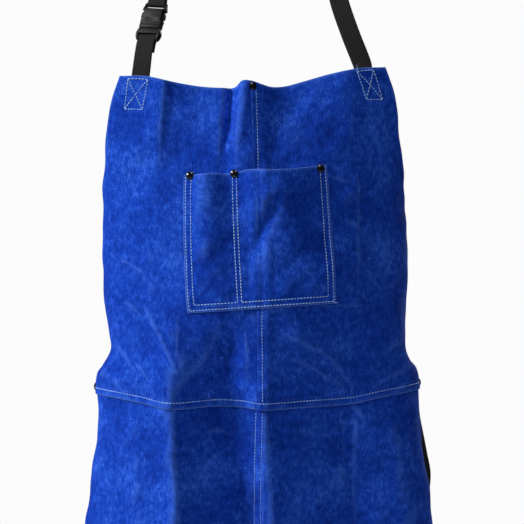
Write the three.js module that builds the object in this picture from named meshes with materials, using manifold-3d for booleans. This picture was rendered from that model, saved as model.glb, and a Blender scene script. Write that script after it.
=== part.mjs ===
// A split-leather welding apron: a bib and a skirt of two panels each, a patch pocket,
// double-cap rivets, a neck strap and a waist strap of flat webbing, and two side-release buckles.
//
// Units are millimetres and +Z is up. The front faces -Y, and +X is to the right seen from the front.
// The apron keeps the shape it has when worn. The origin is where the neck strap rests on the nape.

import * as THREE from 'three';
import { mergeVertices } from 'three/addons/utils/BufferGeometryUtils.js';
import Module from 'manifold-3d';

const wasm = await Module();
wasm.setup();

// ---------------------------------------------------------------- driving dimensions

const leather = 1.5; // thickness of the split leather
const gap = 0.3; // kept between pieces that touch
const layer = leather + gap; // one more layer of leather lifts what is on top by this much
const pieceClearance = 0.5; // under rivet heads, which sit flat on a curved sheet

const webWidth = 25;
const webThick = 1.4;

const bibTop = -190; // height of the bib's top edge, before it droops between the straps
const waistDepth = 427; // waist seam below the top edge, near the centre line
const sideReach = 271; // along the leather from the centre line to the waist rivets
const strapDepth = 404; // the waist strap's middle below the top edge, at the sides
const hemDepth = 1070;
const seamLap = 7; // half of the lap of the centre seams
const bibLap = 8; // the bib's lower edge below the waist stitching
const skirtTuck = 17; // the skirt's top edge above it, under the bib

const rivetHead = 4.75; // radius
const rivetBack = 4.4;
const rivetStem = 1.6;
const rivetHole = 2.1;
const holeLength = 24; // long enough to pass through every layer
const rivetSides = 14;
const holeSides = 10;

// The worn shape, from the top edge down. Each row starts with the depth below the top edge. After
// it come the front line's y, the half breadth and half depth of the section, its shift to the
// side, and half of the width that the leather is cut to.
const FRONT = 1;
const BREADTH = 2;
const THROUGH = 3;
const SHIFT = 4;
const CUT = 5;
const shape = [
  [0, -182, 250, 80, -7, 176],
  [30, -186, 234, 90, -6, 189],
  [86, -194, 215, 102, -5, 206],
  [136, -200, 201, 110, -4.5, 228],
  [200, -204, 200.5, 116, -3, 250],
  [280, -207, 199.5, 120, -1, 270],
  [335, -208, 197, 121, -1, 281],
  [362, -208, 196, 121, 0, 285],
  [392, -208, 210, 123, 0.5, 288],
  [430, -208, 213.5, 124, 1, 290],
  [490, -209, 217, 125, 1.5, 292],
  [584, -210, 226, 126, 2, 296],
  [800, -211, 236, 124, 3, 299],
  [hemDepth, -212, 243, 122, 3, 300],
];

// How far the top edge hangs below a level line, against the distance from the centre line
const droop = [
  [-176, -1],
  [-138, 0],
  [-106, 7],
  [-82, 11.3],
  [-65, 13.6],
  [-42, 15.2],
  [-22, 14.3],
  [-12, 6.5],
  [1, 7.2],
  [14, 11.3],
  [27, 14.3],
  [44, 13],
  [67, 7.1],
  [102, -2.6],
  [141, -10.4],
  [176, -12.4],
];
const droopFade = 110; // depth over which the droop dies away

// The waist stitching's depth, against the distance from the centre line
const waistLine = [
  [-290, 409],
  [-205, 413],
  [-160, 419],
  [-114, waistDepth],
  [-60, 423],
  [-20, 424.5],
  [5, 428],
  [68, 424.5],
  [138, 420],
  [170, 413],
  [226, 405],
  [290, 402],
];

// The middle of the centre seams, as [depth, distance to the right of the centre line]
const bibSeam = [
  [0, 5],
  [100, 6],
  [280, 7.7],
  [waistDepth, 6.5],
];
const skirtSeam = [
  [waistDepth - skirtTuck, 3],
  [570, -1.3],
  [hemDepth, 0],
];

// The pocket's corners on the leather, as [distance from the centre line, depth]
const pocketTopLeft = [-91, 127.5];
const pocketTopRight = [96.5, 116.5];
const pocketLowLeft = [-90, 309.5];
const pocketLowRight = [104, 296.5];
const pocketDivider = 0.355; // share of the pocket's width that the pen slot takes
const pocketDividerSeam = 0.03; // half of the share that is sewn flat between the two
const pocketSeam = 0.06; // share of the width and height that its sewn edge takes
const pocketBulge = 13; // how far the mouth stands off

// ---------------------------------------------------------------- materials

const blueLeather = () => new THREE.MeshStandardMaterial({ color: 0x1a3fb4, roughness: 0.95, metalness: 0 });
const webbing = () => new THREE.MeshStandardMaterial({ color: 0x1b1b1d, roughness: 0.85, metalness: 0 });
const plastic = () => new THREE.MeshStandardMaterial({ color: 0x151517, roughness: 0.45, metalness: 0 });
const blackMetal = () => new THREE.MeshStandardMaterial({ color: 0x17171a, roughness: 0.3, metalness: 0.9 });

// ---------------------------------------------------------------- curves and solids

const clamp01 = (t) => THREE.MathUtils.clamp(t, 0, 1);
const lerp = THREE.MathUtils.lerp;
const smooth = (t) => THREE.MathUtils.smoothstep(t, 0, 1);

// One column of a table of rows, read smoothly between its rows (a cubic Hermite curve)
function follow(table, at, column) {
  const last = table.length - 1;
  let i = 0;
  while (i < last - 1 && at > table[i + 1][0]) {
    i += 1;
  }
  const slope = (k) => {
    const before = table[Math.max(k - 1, 0)];
    const after = table[Math.min(k + 1, last)];
    return (after[column] - before[column]) / (after[0] - before[0]);
  };
  const span = table[i + 1][0] - table[i][0];
  const t = clamp01((at - table[i][0]) / span);
  const rise = t * t * (3 - 2 * t);
  const leave = t * (1 - t) * (1 - t) * span;
  const arrive = t * t * (t - 1) * span;
  return lerp(table[i][column], table[i + 1][column], rise) + leave * slope(i) + arrive * slope(i + 1);
}

// The angle reached on an ellipse after going a given distance along it from its front
function ellipseAngle(distance, breadth, through) {
  const steps = 32;
  const speed = (angle) => Math.hypot(breadth * Math.cos(angle), through * Math.sin(angle));
  let angle = 0;
  for (let k = 0; k < steps; k += 1) {
    const half = angle + distance / steps / speed(angle) / 2;
    angle += distance / steps / speed(half);
  }
  return angle;
}

// A point on the inner face of the leather: `along` is measured round the figure from the centre line
function skinPoint(along, depth) {
  const breadth = follow(shape, depth, BREADTH);
  const through = follow(shape, depth, THROUGH);
  const angle = ellipseAngle(along, breadth, through);
  const edge = THREE.MathUtils.clamp(along, droop[0][0], droop[droop.length - 1][0]);
  const sag = follow(droop, edge, 1) * Math.exp(-((depth / droopFade) ** 2));
  return new THREE.Vector3(
    follow(shape, depth, SHIFT) + breadth * Math.sin(angle),
    follow(shape, depth, FRONT) + through * (1 - Math.cos(angle)),
    bibTop - depth - sag,
  );
}

function skinNormal(along, depth) {
  const right = skinPoint(along + 1, depth).sub(skinPoint(along - 1, depth));
  const down = skinPoint(along, depth + 1).sub(skinPoint(along, depth - 1));
  return down.cross(right).normalize();
}

const skin = (along, depth, lift) => skinPoint(along, depth).addScaledVector(skinNormal(along, depth), lift);

// A box of nu x nv x 1 cells, each corner moved by place(u, v, top): u and v run 0 to 1 to the
// right and down, and top is 0 on the back face and 1 on the front face
function bentBox(nu, nv, place) {
  const geometry = new THREE.BoxGeometry(1, 1, 1, nu, nv, 1);
  const corner = geometry.attributes.position;
  for (let i = 0; i < corner.count; i += 1) {
    const at = place(corner.getX(i) + 0.5, 0.5 - corner.getY(i), corner.getZ(i) + 0.5);
    corner.setXYZ(i, at.x, at.y, at.z);
  }
  geometry.deleteAttribute('normal');
  geometry.deleteAttribute('uv');
  return mergeVertices(geometry, 1e-4);
}

function toSolid(geometry) {
  const bare = geometry.clone();
  bare.deleteAttribute('normal');
  bare.deleteAttribute('uv');
  const merged = mergeVertices(bare, 1e-4);
  return new wasm.Manifold(
    new wasm.Mesh({
      numProp: 3,
      vertProperties: new Float32Array(merged.attributes.position.array),
      triVerts: new Uint32Array(merged.index.array),
    }),
  );
}

function fromSolid(solid) {
  const mesh = solid.getMesh();
  const geometry = new THREE.BufferGeometry();
  geometry.setAttribute('position', new THREE.BufferAttribute(mesh.vertProperties, 3));
  geometry.setIndex(new THREE.BufferAttribute(mesh.triVerts, 1));
  return geometry;
}

// base with every cutter taken out of it
function cut(base, cutters) {
  return fromSolid(cutters.reduce((solid, cutter) => solid.subtract(toSolid(cutter)), toSolid(base)));
}

// base joined with every addition
function join(base, additions) {
  return fromSolid(additions.reduce((solid, extra) => solid.add(toSolid(extra)), toSolid(base)));
}

function box(x0, x1, y0, y1, z0, z1) {
  const geometry = new THREE.BoxGeometry(x1 - x0, y1 - y0, z1 - z0);
  return geometry.translate((x0 + x1) / 2, (y0 + y1) / 2, (z0 + z1) / 2);
}

// A closed outline of [x, y] points, given a thickness and centred on z = 0
function plate(outline, thickness) {
  const flat = new THREE.Shape(outline.map(([x, y]) => new THREE.Vector2(x, y)));
  const geometry = new THREE.ExtrudeGeometry(flat, { depth: thickness, bevelEnabled: false });
  return geometry.translate(0, 0, -thickness / 2);
}

// The whole outline from its right half, listed from bottom to top
const mirrored = (half) => [...half, ...half.map(([x, y]) => [-x, y]).reverse()];

const apron = new THREE.Group();

function add(name, geometry, material, parent = apron) {
  const mesh = new THREE.Mesh(geometry, material);
  mesh.name = name;
  parent.add(mesh);
  return mesh;
}

// ---------------------------------------------------------------- layers of leather

const waistSeam = (along) => follow(waistLine, along, 1);

const lapEase = 18; // beside a lap, the distance over which what lies on it settles
const bibRise = 14; // above the skirt, the distance over which the bib rises to lie on it
const bibClear = 3; // from the end of that rise to the skirt's top edge
const lapLayer = layer + 0.5; // the bib bends over the skirt's top edge, so it lies a little freer

// 1 within the centre lap, easing to 0 beside it, at a distance from the seam's middle
const inLap = (offset) => 1 - smooth((Math.abs(offset) - seamLap - 1) / lapEase);
// 1 to the left of the lap and in it, easing to 0 to its right
const leftOfLap = (offset) => 1 - smooth((offset - seamLap - 1) / lapEase);
// 1 where the bib lies over the skirt's top edge
const overSkirt = (along, depth) =>
  smooth((depth - waistSeam(along) + skirtTuck + bibClear + bibRise) / bibRise);

const bibSeamAt = (depth) => follow(bibSeam, depth, 1);
const skirtSeamAt = (depth) => follow(skirtSeam, depth, 1);

const skirtLeftLift = () => 0;
const skirtRightLift = (along, depth) => layer * leftOfLap(along - skirtSeamAt(depth));
const bibLeftLift = (along, depth) =>
  overSkirt(along, depth) * (lapLayer + layer * inLap(along - skirtSeamAt(depth)));
const bibRightLift = (along, depth) =>
  layer * leftOfLap(along - bibSeamAt(depth)) +
  overSkirt(along, depth) * (lapLayer + layer * leftOfLap(along - skirtSeamAt(depth)));
const bibFrontLift = (along, depth) => leather + layer * inLap(along - bibSeamAt(depth));

// Rows of each panel, as distances below the waist seam. The rows of the lap are the same in both.
const lapRows = [-skirtTuck, -4, bibLap];
const bibSteps = [-415, -397, -372, -342, -307, -267, -227, -187, -147, -112, -87, -65, -50, -35, -27];
const bibRows = [-waistDepth, ...bibSteps, ...lapRows];
const skirtRows = [...lapRows, 22, 50, 85, 130, 185, 245, 310, 380, 450, 520, 580, hemDepth - waistDepth];
const panelColumns = 18;

// The depth of a row: those outside the lap spread out to the top edge or to the hem
function rowDepth(row, along) {
  const seam = waistSeam(along);
  if (row < -skirtTuck) {
    const share = (row + skirtTuck) / (bibRows[0] + skirtTuck);
    return (seam - skirtTuck) * (1 - share);
  }
  if (row > bibLap) {
    const share = (row - bibLap) / (skirtRows[skirtRows.length - 1] - bibLap);
    return lerp(seam + bibLap, hemDepth, share);
  }
  return seam + row;
}

// One panel, to the left (-1) or right (1) of its centre seam
function panel(rows, side, seamAt, lift) {
  return bentBox(panelColumns, rows.length - 1, (u, v, face) => {
    const row = rows[Math.round(v * (rows.length - 1))];
    const share = side < 0 ? 1 - u : u;
    const near = rowDepth(row, side * share * sideReach);
    const inner = seamAt(near) - side * seamLap;
    const along = lerp(inner, side * follow(shape, near, CUT), share);
    const depth = rowDepth(row, along);
    return skin(along, depth, lift(along, depth) + face * leather);
  });
}

// ---------------------------------------------------------------- rivets

const strapInset = 0.9; // between the bib and the neck strap behind its corners
const waistInset = 2.3; // between the skirt and the waist strap, where both bend round the hips

// where a rivet stands, and the lifts between which it holds its layers
const onSeam = { low: 0, high: leather + layer };
const rivets = [
  { name: 'centre_rivet', along: 1, depth: 6.5, ...onSeam, through: ['bib_left', 'bib_right'] },
  { name: 'pocket_rivet_left', along: -83.2, depth: 127.2, ...onSeam, through: ['bib_left', 'pocket'] },
  { name: 'pocket_rivet_middle', along: -24.8, depth: 124.2, ...onSeam, through: ['bib_left', 'pocket'] },
  { name: 'pocket_rivet_right', along: 88, depth: 120.6, ...onSeam, through: ['bib_right', 'pocket'] },
];
for (const side of [-1, 1]) {
  const word = side < 0 ? 'left' : 'right';
  rivets.push({
    name: `waist_rivet_${word}`,
    along: side * sideReach,
    depth: waistSeam(side * sideReach),
    low: -waistInset - webThick,
    high: leather + lapLayer,
    through: [`bib_${word}`, `skirt_${word}`, `strap_${word}`],
  });
}

// turns +Y, a lathe's axis, to the leather's outward normal at the rivet
function standOnSkin(object, along, depth, lift) {
  object.position.copy(skin(along, depth, lift));
  object.quaternion.setFromUnitVectors(new THREE.Vector3(0, 1, 0), skinNormal(along, depth));
}

function lathe(profile) {
  const points = profile.map(([radius, y]) => new THREE.Vector2(radius, y));
  return new THREE.LatheGeometry(points, rivetSides);
}

function rivetHoles(pieceKey) {
  return rivets
    .filter((rivet) => rivet.through.includes(pieceKey))
    .map((rivet) => {
      const hole = new THREE.Mesh(new THREE.CylinderGeometry(rivetHole, rivetHole, holeLength, holeSides));
      standOnSkin(hole, rivet.along, rivet.depth, 0);
      hole.updateMatrix();
      return hole.geometry.applyMatrix4(hole.matrix);
    });
}

// Profiles of a rivet's domed cap and of its disc and stem, as [radius, height]
const capProfile = [
  [0, 0],
  [rivetHead, 0],
  [rivetHead, 0.5],
  [4, 1.4],
  [2.4, 2.1],
  [0, 2.3],
];
const postProfile = (stemTop) => [
  [0, -0.9],
  [rivetBack, -0.9],
  [rivetBack, 0],
  [rivetStem, 0],
  [rivetStem, stemTop],
  [0, stemTop],
];

function addRivet({ name, along, depth, low, high }) {
  const cap = add(`${name}_cap`, lathe(capProfile), blackMetal());
  standOnSkin(cap, along, depth, high + pieceClearance);
  const stemTop = high - low + 2 * pieceClearance - gap;
  const post = add(`${name}_post`, lathe(postProfile(stemTop)), blackMetal());
  standOnSkin(post, along, depth, low - pieceClearance);
}

// ---------------------------------------------------------------- leather pieces

function addLeather() {
  const bibLeft = panel(bibRows, -1, bibSeamAt, bibLeftLift);
  const bibRight = panel(bibRows, 1, bibSeamAt, bibRightLift);
  const skirtLeft = panel(skirtRows, -1, skirtSeamAt, skirtLeftLift);
  const skirtRight = panel(skirtRows, 1, skirtSeamAt, skirtRightLift);
  add('bib_panel_left', cut(bibLeft, rivetHoles('bib_left')), blueLeather());
  add('bib_panel_right', cut(bibRight, rivetHoles('bib_right')), blueLeather());
  add('skirt_panel_left', cut(skirtLeft, rivetHoles('skirt_left')), blueLeather());
  add('skirt_panel_right', cut(skirtRight, rivetHoles('skirt_right')), blueLeather());
}

// How far the pocket stands off at (p, q), which run 0 to 1 across it and down it
function pocketStandOff(p, q) {
  const slot = (from, to) => Math.sin(Math.PI * clamp01((p - from) / (to - from))) ** 1.5;
  const pen = slot(pocketSeam, pocketDivider - pocketDividerSeam);
  const main = slot(pocketDivider + pocketDividerSeam, 1 - pocketSeam);
  return pocketBulge * (pen + main) * clamp01(1 - q / (1 - pocketSeam)) ** 1.2;
}

const pocketColumns = 30;
const pocketRows = 10;

function addPocket() {
  const between = (from, to, t) => [lerp(from[0], to[0], t), lerp(from[1], to[1], t)];
  const patch = bentBox(pocketColumns, pocketRows, (p, q, face) => {
    const top = between(pocketTopLeft, pocketTopRight, p);
    const low = between(pocketLowLeft, pocketLowRight, p);
    const [along, depth] = between(top, low, q);
    return skin(along, depth, bibFrontLift(along, depth) + gap + pocketStandOff(p, q) + face * leather);
  });
  add('pocket', cut(patch, rivetHoles('pocket')), blueLeather());
}

// ---------------------------------------------------------------- webbing

// A flat band through stations of { at, out }: out is the direction that its outer face looks in
function band(stations) {
  const last = stations.length - 1;
  const frames = stations.map(({ at, out, across }, i) => {
    const forward = stations[Math.min(i + 1, last)].at.clone().sub(stations[Math.max(i - 1, 0)].at);
    const side = across ?? forward.cross(out).normalize();
    return { at, side, out };
  });
  return bentBox(1, last, (u, v, face) => {
    const { at, side, out } = frames[Math.round((1 - v) * last)];
    const edge = at.clone().addScaledVector(side, (u - 0.5) * webWidth);
    return edge.addScaledVector(out, (face - 0.5) * webThick);
  });
}

// A smooth run through hand-placed stations, each [x, y, z, nx, ny, nz], with `cells` per stretch
function smoothRun(stations, cells) {
  const path = new THREE.CatmullRomCurve3(stations.map((s) => new THREE.Vector3(s[0], s[1], s[2])));
  const facing = new THREE.CatmullRomCurve3(stations.map((s) => new THREE.Vector3(s[3], s[4], s[5])));
  const count = (stations.length - 1) * cells;
  return Array.from({ length: count + 1 }, (_, i) => ({
    at: path.getPoint(i / count),
    out: facing.getPoint(i / count).normalize(),
  }));
}

// Lies flat against the inside of the leather
function insideLeather(along, depth, inset) {
  return { at: skin(along, depth, -inset - webThick / 2), out: skinNormal(along, depth) };
}

// ---------------------------------------------------------------- side-release buckles
//
// A buckle's own frame: x across the webbing, y from the tongue towards the socket, z outwards.
// Its origin is the middle of the socket's mouth.

const socketBar = 35.7; // the middle of the socket's web bar
const tongueBar = -12.7; // the middle of the tongue's web bar
const barHalf = 1.4; // half the thickness and height of a web bar
const barOffset = 3.1; // from a web bar's middle to the webbing's middle, front and back
const loopReach = 3.25; // from a web bar's middle to the webbing's middle, round its edge
const slotHalf = 13.3; // half the length of a web slot

const socketEnd = socketBar + barHalf;
const socketThick = 10.4;
const tongueThick = 9;
const guideThick = 3;
const prongThick = 4.6;
const past = 20; // beyond any edge, for cutters that run out of the buckle

function socketSolid() {
  const outline = mirrored([
    [15.8, 0],
    [16.1, 8],
    [17, 24],
    [16.6, 29],
    [15.7, 33],
    [15.7, socketEnd - 1.2],
    [14.5, socketEnd],
  ]);
  return cut(plate(outline, socketThick), [
    box(-14.2, 14.2, -1, 27, -3.3, 3.3), // the cavity that the tongue enters
    box(-past, -12, 11.5, 26, -3.3, 3.3), // side windows, through which the prongs are pressed
    box(12, past, 11.5, 26, -3.3, 3.3),
    box(-slotHalf, slotHalf, 28.4, socketBar - barHalf, -past, past), // web slot
    box(-past, past, socketBar - barHalf, 40, barHalf, past), // the bar is thinner than the housing
    box(-past, past, socketBar - barHalf, 40, -past, -barHalf),
  ]);
}

function tongueSolid() {
  const outline = mirrored([
    [15.2, -17.5],
    [16.9, -13],
    [17.5, -5],
    [16, -0.4],
  ]);
  const slotted = cut(plate(outline, tongueThick), [
    box(-slotHalf, slotHalf, -past, tongueBar - barHalf, -past, past), // open end between the ears
    box(-slotHalf, slotHalf, tongueBar + barHalf, -8.2, -past, past), // web slot
    box(-slotHalf, slotHalf, -16, -10, barHalf, past), // the web bar is thinner than the base
    box(-slotHalf, slotHalf, -16, -10, -past, -barHalf),
  ]);
  const plug = box(-8.2, 8.2, -1, 5, -2.9, 2.9);
  const guideOutline = mirrored([
    [4, 4],
    [4, 17],
    [2.4, 20.5],
  ]);
  return join(slotted, [plug, plate(guideOutline, guideThick)]);
}

function prongSolid(side) {
  const outline = [
    [9.3, 0.2],
    [12.7, 0.2],
    [13, 12.6],
    [16.5, 13.4],
    [17.2, 17],
    [16.2, 22.5],
    [13.2, 25.4],
    [11.4, 24.6],
    [10.2, 12],
  ];
  const geometry = plate(outline, prongThick);
  return side > 0 ? geometry : geometry.rotateY(Math.PI);
}

function addBuckle(name, mouth, along, out) {
  const buckle = new THREE.Group();
  const across = along.clone().cross(out).normalize();
  buckle.position.copy(mouth);
  buckle.quaternion.setFromRotationMatrix(new THREE.Matrix4().makeBasis(across, along, out));
  apron.add(buckle);
  add(`${name}_socket`, socketSolid(), plastic(), buckle);
  add(`${name}_tongue`, tongueSolid(), plastic(), buckle);
  add(`${name}_prong_left`, prongSolid(-1), plastic(), buckle);
  add(`${name}_prong_right`, prongSolid(1), plastic(), buckle);
  const place = (y, z) => mouth.clone().addScaledVector(along, y).addScaledVector(out, z);
  return { place, across, along, out };
}

// The stations of webbing that turns round a web bar. It comes in on the face that `from` names
// (1 outer, -1 inner), and leaves on the other. `turn` is 1 if it goes round the bar's edge towards
// the socket, and -1 if it goes round the edge towards the tongue.
function loop(buckle, bar, from, turn) {
  const steps = 8;
  return Array.from({ length: steps + 1 }, (_, i) => {
    const angle = (Math.PI * i) / steps;
    const y = turn * loopReach * Math.sin(angle);
    const z = from * barOffset * Math.cos(angle);
    const out = buckle.out
      .clone()
      .multiplyScalar(from * Math.cos(angle))
      .addScaledVector(buckle.along, turn * Math.sin(angle))
      .multiplyScalar(from);
    return { at: buckle.place(bar + y, z), out: out.normalize() };
  });
}

// The end of a strap that has turned round the socket's bar: it lies on the strap's inner face
function sewnBack(buckle, length) {
  const out = buckle.out.clone().negate();
  const second = barOffset - webThick - 0.5;
  const clearOfBar = { at: buckle.place(socketBar + 4, -barOffset), out };
  const ends = [14, 14 + length].map((y) => ({ at: buckle.place(socketBar + y, second), out }));
  return [clearOfBar, ...ends];
}

// ---------------------------------------------------------------- neck strap

const neckMouth = new THREE.Vector3(-140.5, -146.2, -126.3);
const neckAlong = new THREE.Vector3(0.235, 0.34, 0.91).normalize();
const neckOut = new THREE.Vector3(-0.42, -0.9, 0).projectOnPlane(neckAlong).normalize();

const napeTilt = new THREE.Vector3(0, 0.94, 0.34).normalize(); // outer face of the strap at the nape
const napeHalf = 11; // half of the straight stretch that bears on the nape

// where the neck strap's ends are sewn behind the bib's corners, as [along, depth]
const neckLeftEnd = [
  [-158, 47],
  [-155, 32],
  [-151, 17],
  [-147.5, 3],
];
const neckRightEnd = [
  [161, 44],
  [157, 30],
  [152.5, 16],
  [148, 3],
];

// the short strap's free tail behind the tongue, as [y, z] in the buckle's frame
const neckTail = [
  [-20, -barOffset],
  [-27, -barOffset - 0.8],
  [-32, -barOffset - 2],
];

function addNeckStrap() {
  const buckle = addBuckle('neck_buckle', neckMouth, neckAlong, neckOut);

  const behindBib = ([along, depth]) => insideLeather(along, depth, strapInset);
  const shortEnd = neckLeftEnd.map(behindBib);
  const bottomLoop = loop(buckle, tongueBar, 1, 1);
  const inwards = buckle.out.clone().negate();
  const tail = neckTail.map(([y, z]) => ({ at: buckle.place(y, z), out: inwards }));
  const rise = { at: buckle.place(-26, barOffset - 0.3), out: buckle.out };
  add('neck_strap_short', band([...shortEnd, rise, ...bottomLoop, ...tail]), webbing());

  const middle = napeTilt.clone().multiplyScalar(webThick / 2);
  const napeStation = (x) => [x, middle.y, middle.z, napeTilt.x, napeTilt.y, napeTilt.z];
  const rightRun = smoothRun(
    [
      [137.5, -159.5, -172, 0.05, -0.95, 0.22],
      [123.5, -148, -135, -0.05, -0.93, 0.3],
      [109.5, -131, -92.5, -0.1, -0.9, 0.4],
      [101, -110, -52, -0.02, -0.82, 0.56],
      [94, -82, -18, 0.12, -0.5, 0.84],
      [84, -52, -3, 0.25, -0.1, 0.95],
      [66, -22, -3, 0.25, 0.4, 0.85],
      [40, -5, -2, 0.1, 0.8, 0.55],
      napeStation(16),
      napeStation(napeHalf),
    ],
    3,
  );
  const topFree = buckle.place(socketBar + 30, barOffset);
  const leftRun = smoothRun(
    [
      napeStation(-napeHalf),
      napeStation(-16),
      [-40, -5, -2, -0.1, 0.8, 0.55],
      [-68, -22, -3, -0.25, 0.4, 0.85],
      [-90, -50, -3, -0.25, -0.1, 0.95],
      [-108, -82, -15, -0.15, -0.5, 0.84],
      [-119, -110, -40, -0.05, -0.8, 0.6],
      [topFree.x, topFree.y, topFree.z, buckle.out.x, buckle.out.y, buckle.out.z],
    ],
    3,
  );
  for (const station of [...rightRun.slice(-4), ...leftRun.slice(0, 4)]) {
    station.out = napeTilt;
    station.at.y = middle.y;
    station.at.z = middle.z;
    station.across = new THREE.Vector3(-1, 0, 0).cross(napeTilt);
  }
  const rightEnd = neckRightEnd.map(behindBib);
  const topLoop = loop(buckle, socketBar, 1, -1);
  const sewnEnd = sewnBack(buckle, 14);
  add('neck_strap_long', band([...rightEnd, ...rightRun, ...leftRun, ...topLoop, ...sewnEnd]), webbing());
}

// ---------------------------------------------------------------- waist strap

const waistHeight = bibTop - strapDepth;
const waistMouth = new THREE.Vector3(191.2, -20.3, waistHeight);
const waistAlong = new THREE.Vector3(-0.69, 0.72, 0).normalize();
const waistOut = new THREE.Vector3(0.72, 0.69, 0).normalize();
const back = { x: 208, y: 120, centre: -84 }; // half axes and centre of the strap's way round the back
const hip = [257, 264, 271, 278, 285, 292]; // how far round the figure the strap lies in the leather

// A station on the way round the back, at an angle from +X towards +Y
function onBack(degrees) {
  const angle = THREE.MathUtils.degToRad(degrees);
  const out = new THREE.Vector3(Math.cos(angle) / back.x, Math.sin(angle) / back.y, 0).normalize();
  const at = new THREE.Vector3(back.x * Math.cos(angle), back.centre + back.y * Math.sin(angle), waistHeight);
  return { at, out };
}

function addWaistStrap() {
  const buckle = addBuckle('waist_buckle', waistMouth, waistAlong, waistOut);
  const inside = (along) => insideLeather(along, strapDepth, waistInset);

  // right: riveted end, back to the tongue, round its bar, and the free tail that hangs down
  const start = hip.map(inside);
  const approach = { at: buckle.place(-26, -barOffset - 0.4), out: buckle.out };
  const turn = loop(buckle, tongueBar, -1, 1);
  const tail = smoothRun(
    [
      [...buckle.place(-17, barOffset).toArray(), ...buckle.out.toArray()],
      [...buckle.place(-25, barOffset + 0.6).toArray(), ...buckle.out.toArray()],
      [211, -43, -602, 0.75, 0.4, 0.5],
      [213, -47, -620, 0.8, 0, 0.6],
      [214, -48, -648, 0.8, -0.45, 0.35],
      [220, -47, -690, 0.75, -0.65, 0.1],
      [225, -42, -722, 0.75, -0.65, -0.05],
      [219, -34, -768, 0.72, -0.65, -0.2],
    ],
    3,
  );
  const rightBand = band([...start, approach, ...turn, ...tail]);
  add('waist_strap_right', cut(rightBand, rivetHoles('strap_right')), webbing());

  // left: riveted end, round the back to the socket's bar, and its sewn end
  const leftStart = hip.map((along) => inside(-along));
  const flat = [96, 84].map(onBack);
  const leftSide = [172, 162, 152, 142, 132, 122, 114, 105].map(onBack);
  const rightSide = [75, 66, 57].map(onBack);
  const barRun = { at: buckle.place(socketBar + 14, barOffset), out: buckle.out };
  const topLoop = loop(buckle, socketBar, 1, -1);
  const sewnEnd = sewnBack(buckle, 12);
  const ring = [...leftStart, ...leftSide, ...flat, ...rightSide, barRun, ...topLoop, ...sewnEnd];
  add('waist_strap_left', cut(band(ring), rivetHoles('strap_left')), webbing());
}

addLeather();
addPocket();
rivets.forEach(addRivet);
addNeckStrap();
addWaistStrap();

export default apron;
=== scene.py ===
"""A blue split-leather welding apron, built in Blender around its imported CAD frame.

Lengths are in millimetres until a mesh is made, and Blender's own are in metres. +Z is up, the front
faces -Y, and +X is to the right seen from the front. The origin is where the neck strap rests on the
nape. Points on the leather are given as (along, depth): along is measured round the figure from the
centre line, and depth down from the top edge.
"""

import math

import bpy
import numpy as np
from mathutils import Matrix, Vector


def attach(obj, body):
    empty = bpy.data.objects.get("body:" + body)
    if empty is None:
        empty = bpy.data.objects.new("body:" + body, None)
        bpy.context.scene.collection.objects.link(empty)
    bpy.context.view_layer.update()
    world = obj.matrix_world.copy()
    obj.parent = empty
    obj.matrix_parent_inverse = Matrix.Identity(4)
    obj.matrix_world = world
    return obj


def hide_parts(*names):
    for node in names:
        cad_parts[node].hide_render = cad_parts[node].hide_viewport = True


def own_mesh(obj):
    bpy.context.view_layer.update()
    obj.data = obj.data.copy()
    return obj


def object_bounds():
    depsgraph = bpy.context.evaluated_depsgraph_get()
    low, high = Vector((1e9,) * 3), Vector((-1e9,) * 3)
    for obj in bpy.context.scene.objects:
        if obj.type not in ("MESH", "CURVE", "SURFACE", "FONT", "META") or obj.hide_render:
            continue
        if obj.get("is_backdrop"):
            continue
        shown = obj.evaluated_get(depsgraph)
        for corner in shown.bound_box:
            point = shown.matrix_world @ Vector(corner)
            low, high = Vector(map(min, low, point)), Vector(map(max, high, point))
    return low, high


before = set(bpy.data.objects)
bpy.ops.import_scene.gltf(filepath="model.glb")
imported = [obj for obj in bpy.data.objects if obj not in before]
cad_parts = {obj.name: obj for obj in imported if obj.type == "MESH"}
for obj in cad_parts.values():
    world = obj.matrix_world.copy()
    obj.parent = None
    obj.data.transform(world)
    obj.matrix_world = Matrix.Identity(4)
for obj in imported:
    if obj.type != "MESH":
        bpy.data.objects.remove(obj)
cad_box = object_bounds()

MM = 0.001

# ---- driving dimensions, as in the CAD

LEATHER = 1.5
GAP = 0.3
LAYER = LEATHER + GAP
LAP_LAYER = LAYER + 0.5  # the bib's lower edge lies more loosely over the skirt

WEB_WIDTH = 25.0
WEB_THICK = 1.4
STRAP_INSET = 0.9  # between a strap's sewn end and the leather
WAIST_INSET = 2.3  # the same at the waist rivets

BIB_TOP = -190
WAIST_DEPTH = 427
SIDE_REACH = 271
HEM_DEPTH = 1070
SEAM_LAP = 7
BIB_LAP = 8
SKIRT_TUCK = 17

# the worn shape: depth, front line's y, half breadth, half depth, shift to the side, half cut width
FRONT, BREADTH, THROUGH, SHIFT, CUT = range(1, 6)
SHAPE = [
    [0, -182, 250, 80, -7, 176],
    [30, -186, 234, 90, -6, 189],
    [86, -194, 215, 102, -5, 206],
    [136, -200, 201, 110, -4.5, 228],
    [200, -204, 200.5, 116, -3, 250],
    [280, -207, 199.5, 120, -1, 270],
    [335, -208, 197, 121, -1, 281],
    [362, -208, 196, 121, 0, 285],
    [392, -208, 210, 123, 0.5, 288],
    [430, -208, 213.5, 124, 1, 290],
    [490, -209, 217, 125, 1.5, 292],
    [584, -210, 226, 126, 2, 296],
    [800, -211, 236, 124, 3, 299],
    [1070, -212, 243, 122, 3, 300],
]

# how far the top edge hangs below a level line, by the distance from the centre line
DROOP = [
    [-176, -1], [-138, 0], [-106, 7], [-82, 11.3], [-65, 13.6], [-42, 15.2], [-22, 14.3],
    [-12, 6.5], [1, 7.2], [14, 11.3], [27, 14.3], [44, 13], [67, 7.1], [102, -2.6], [141, -10.4],
    [176, -12.4],
]
DROOP_FADE = 110

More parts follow.
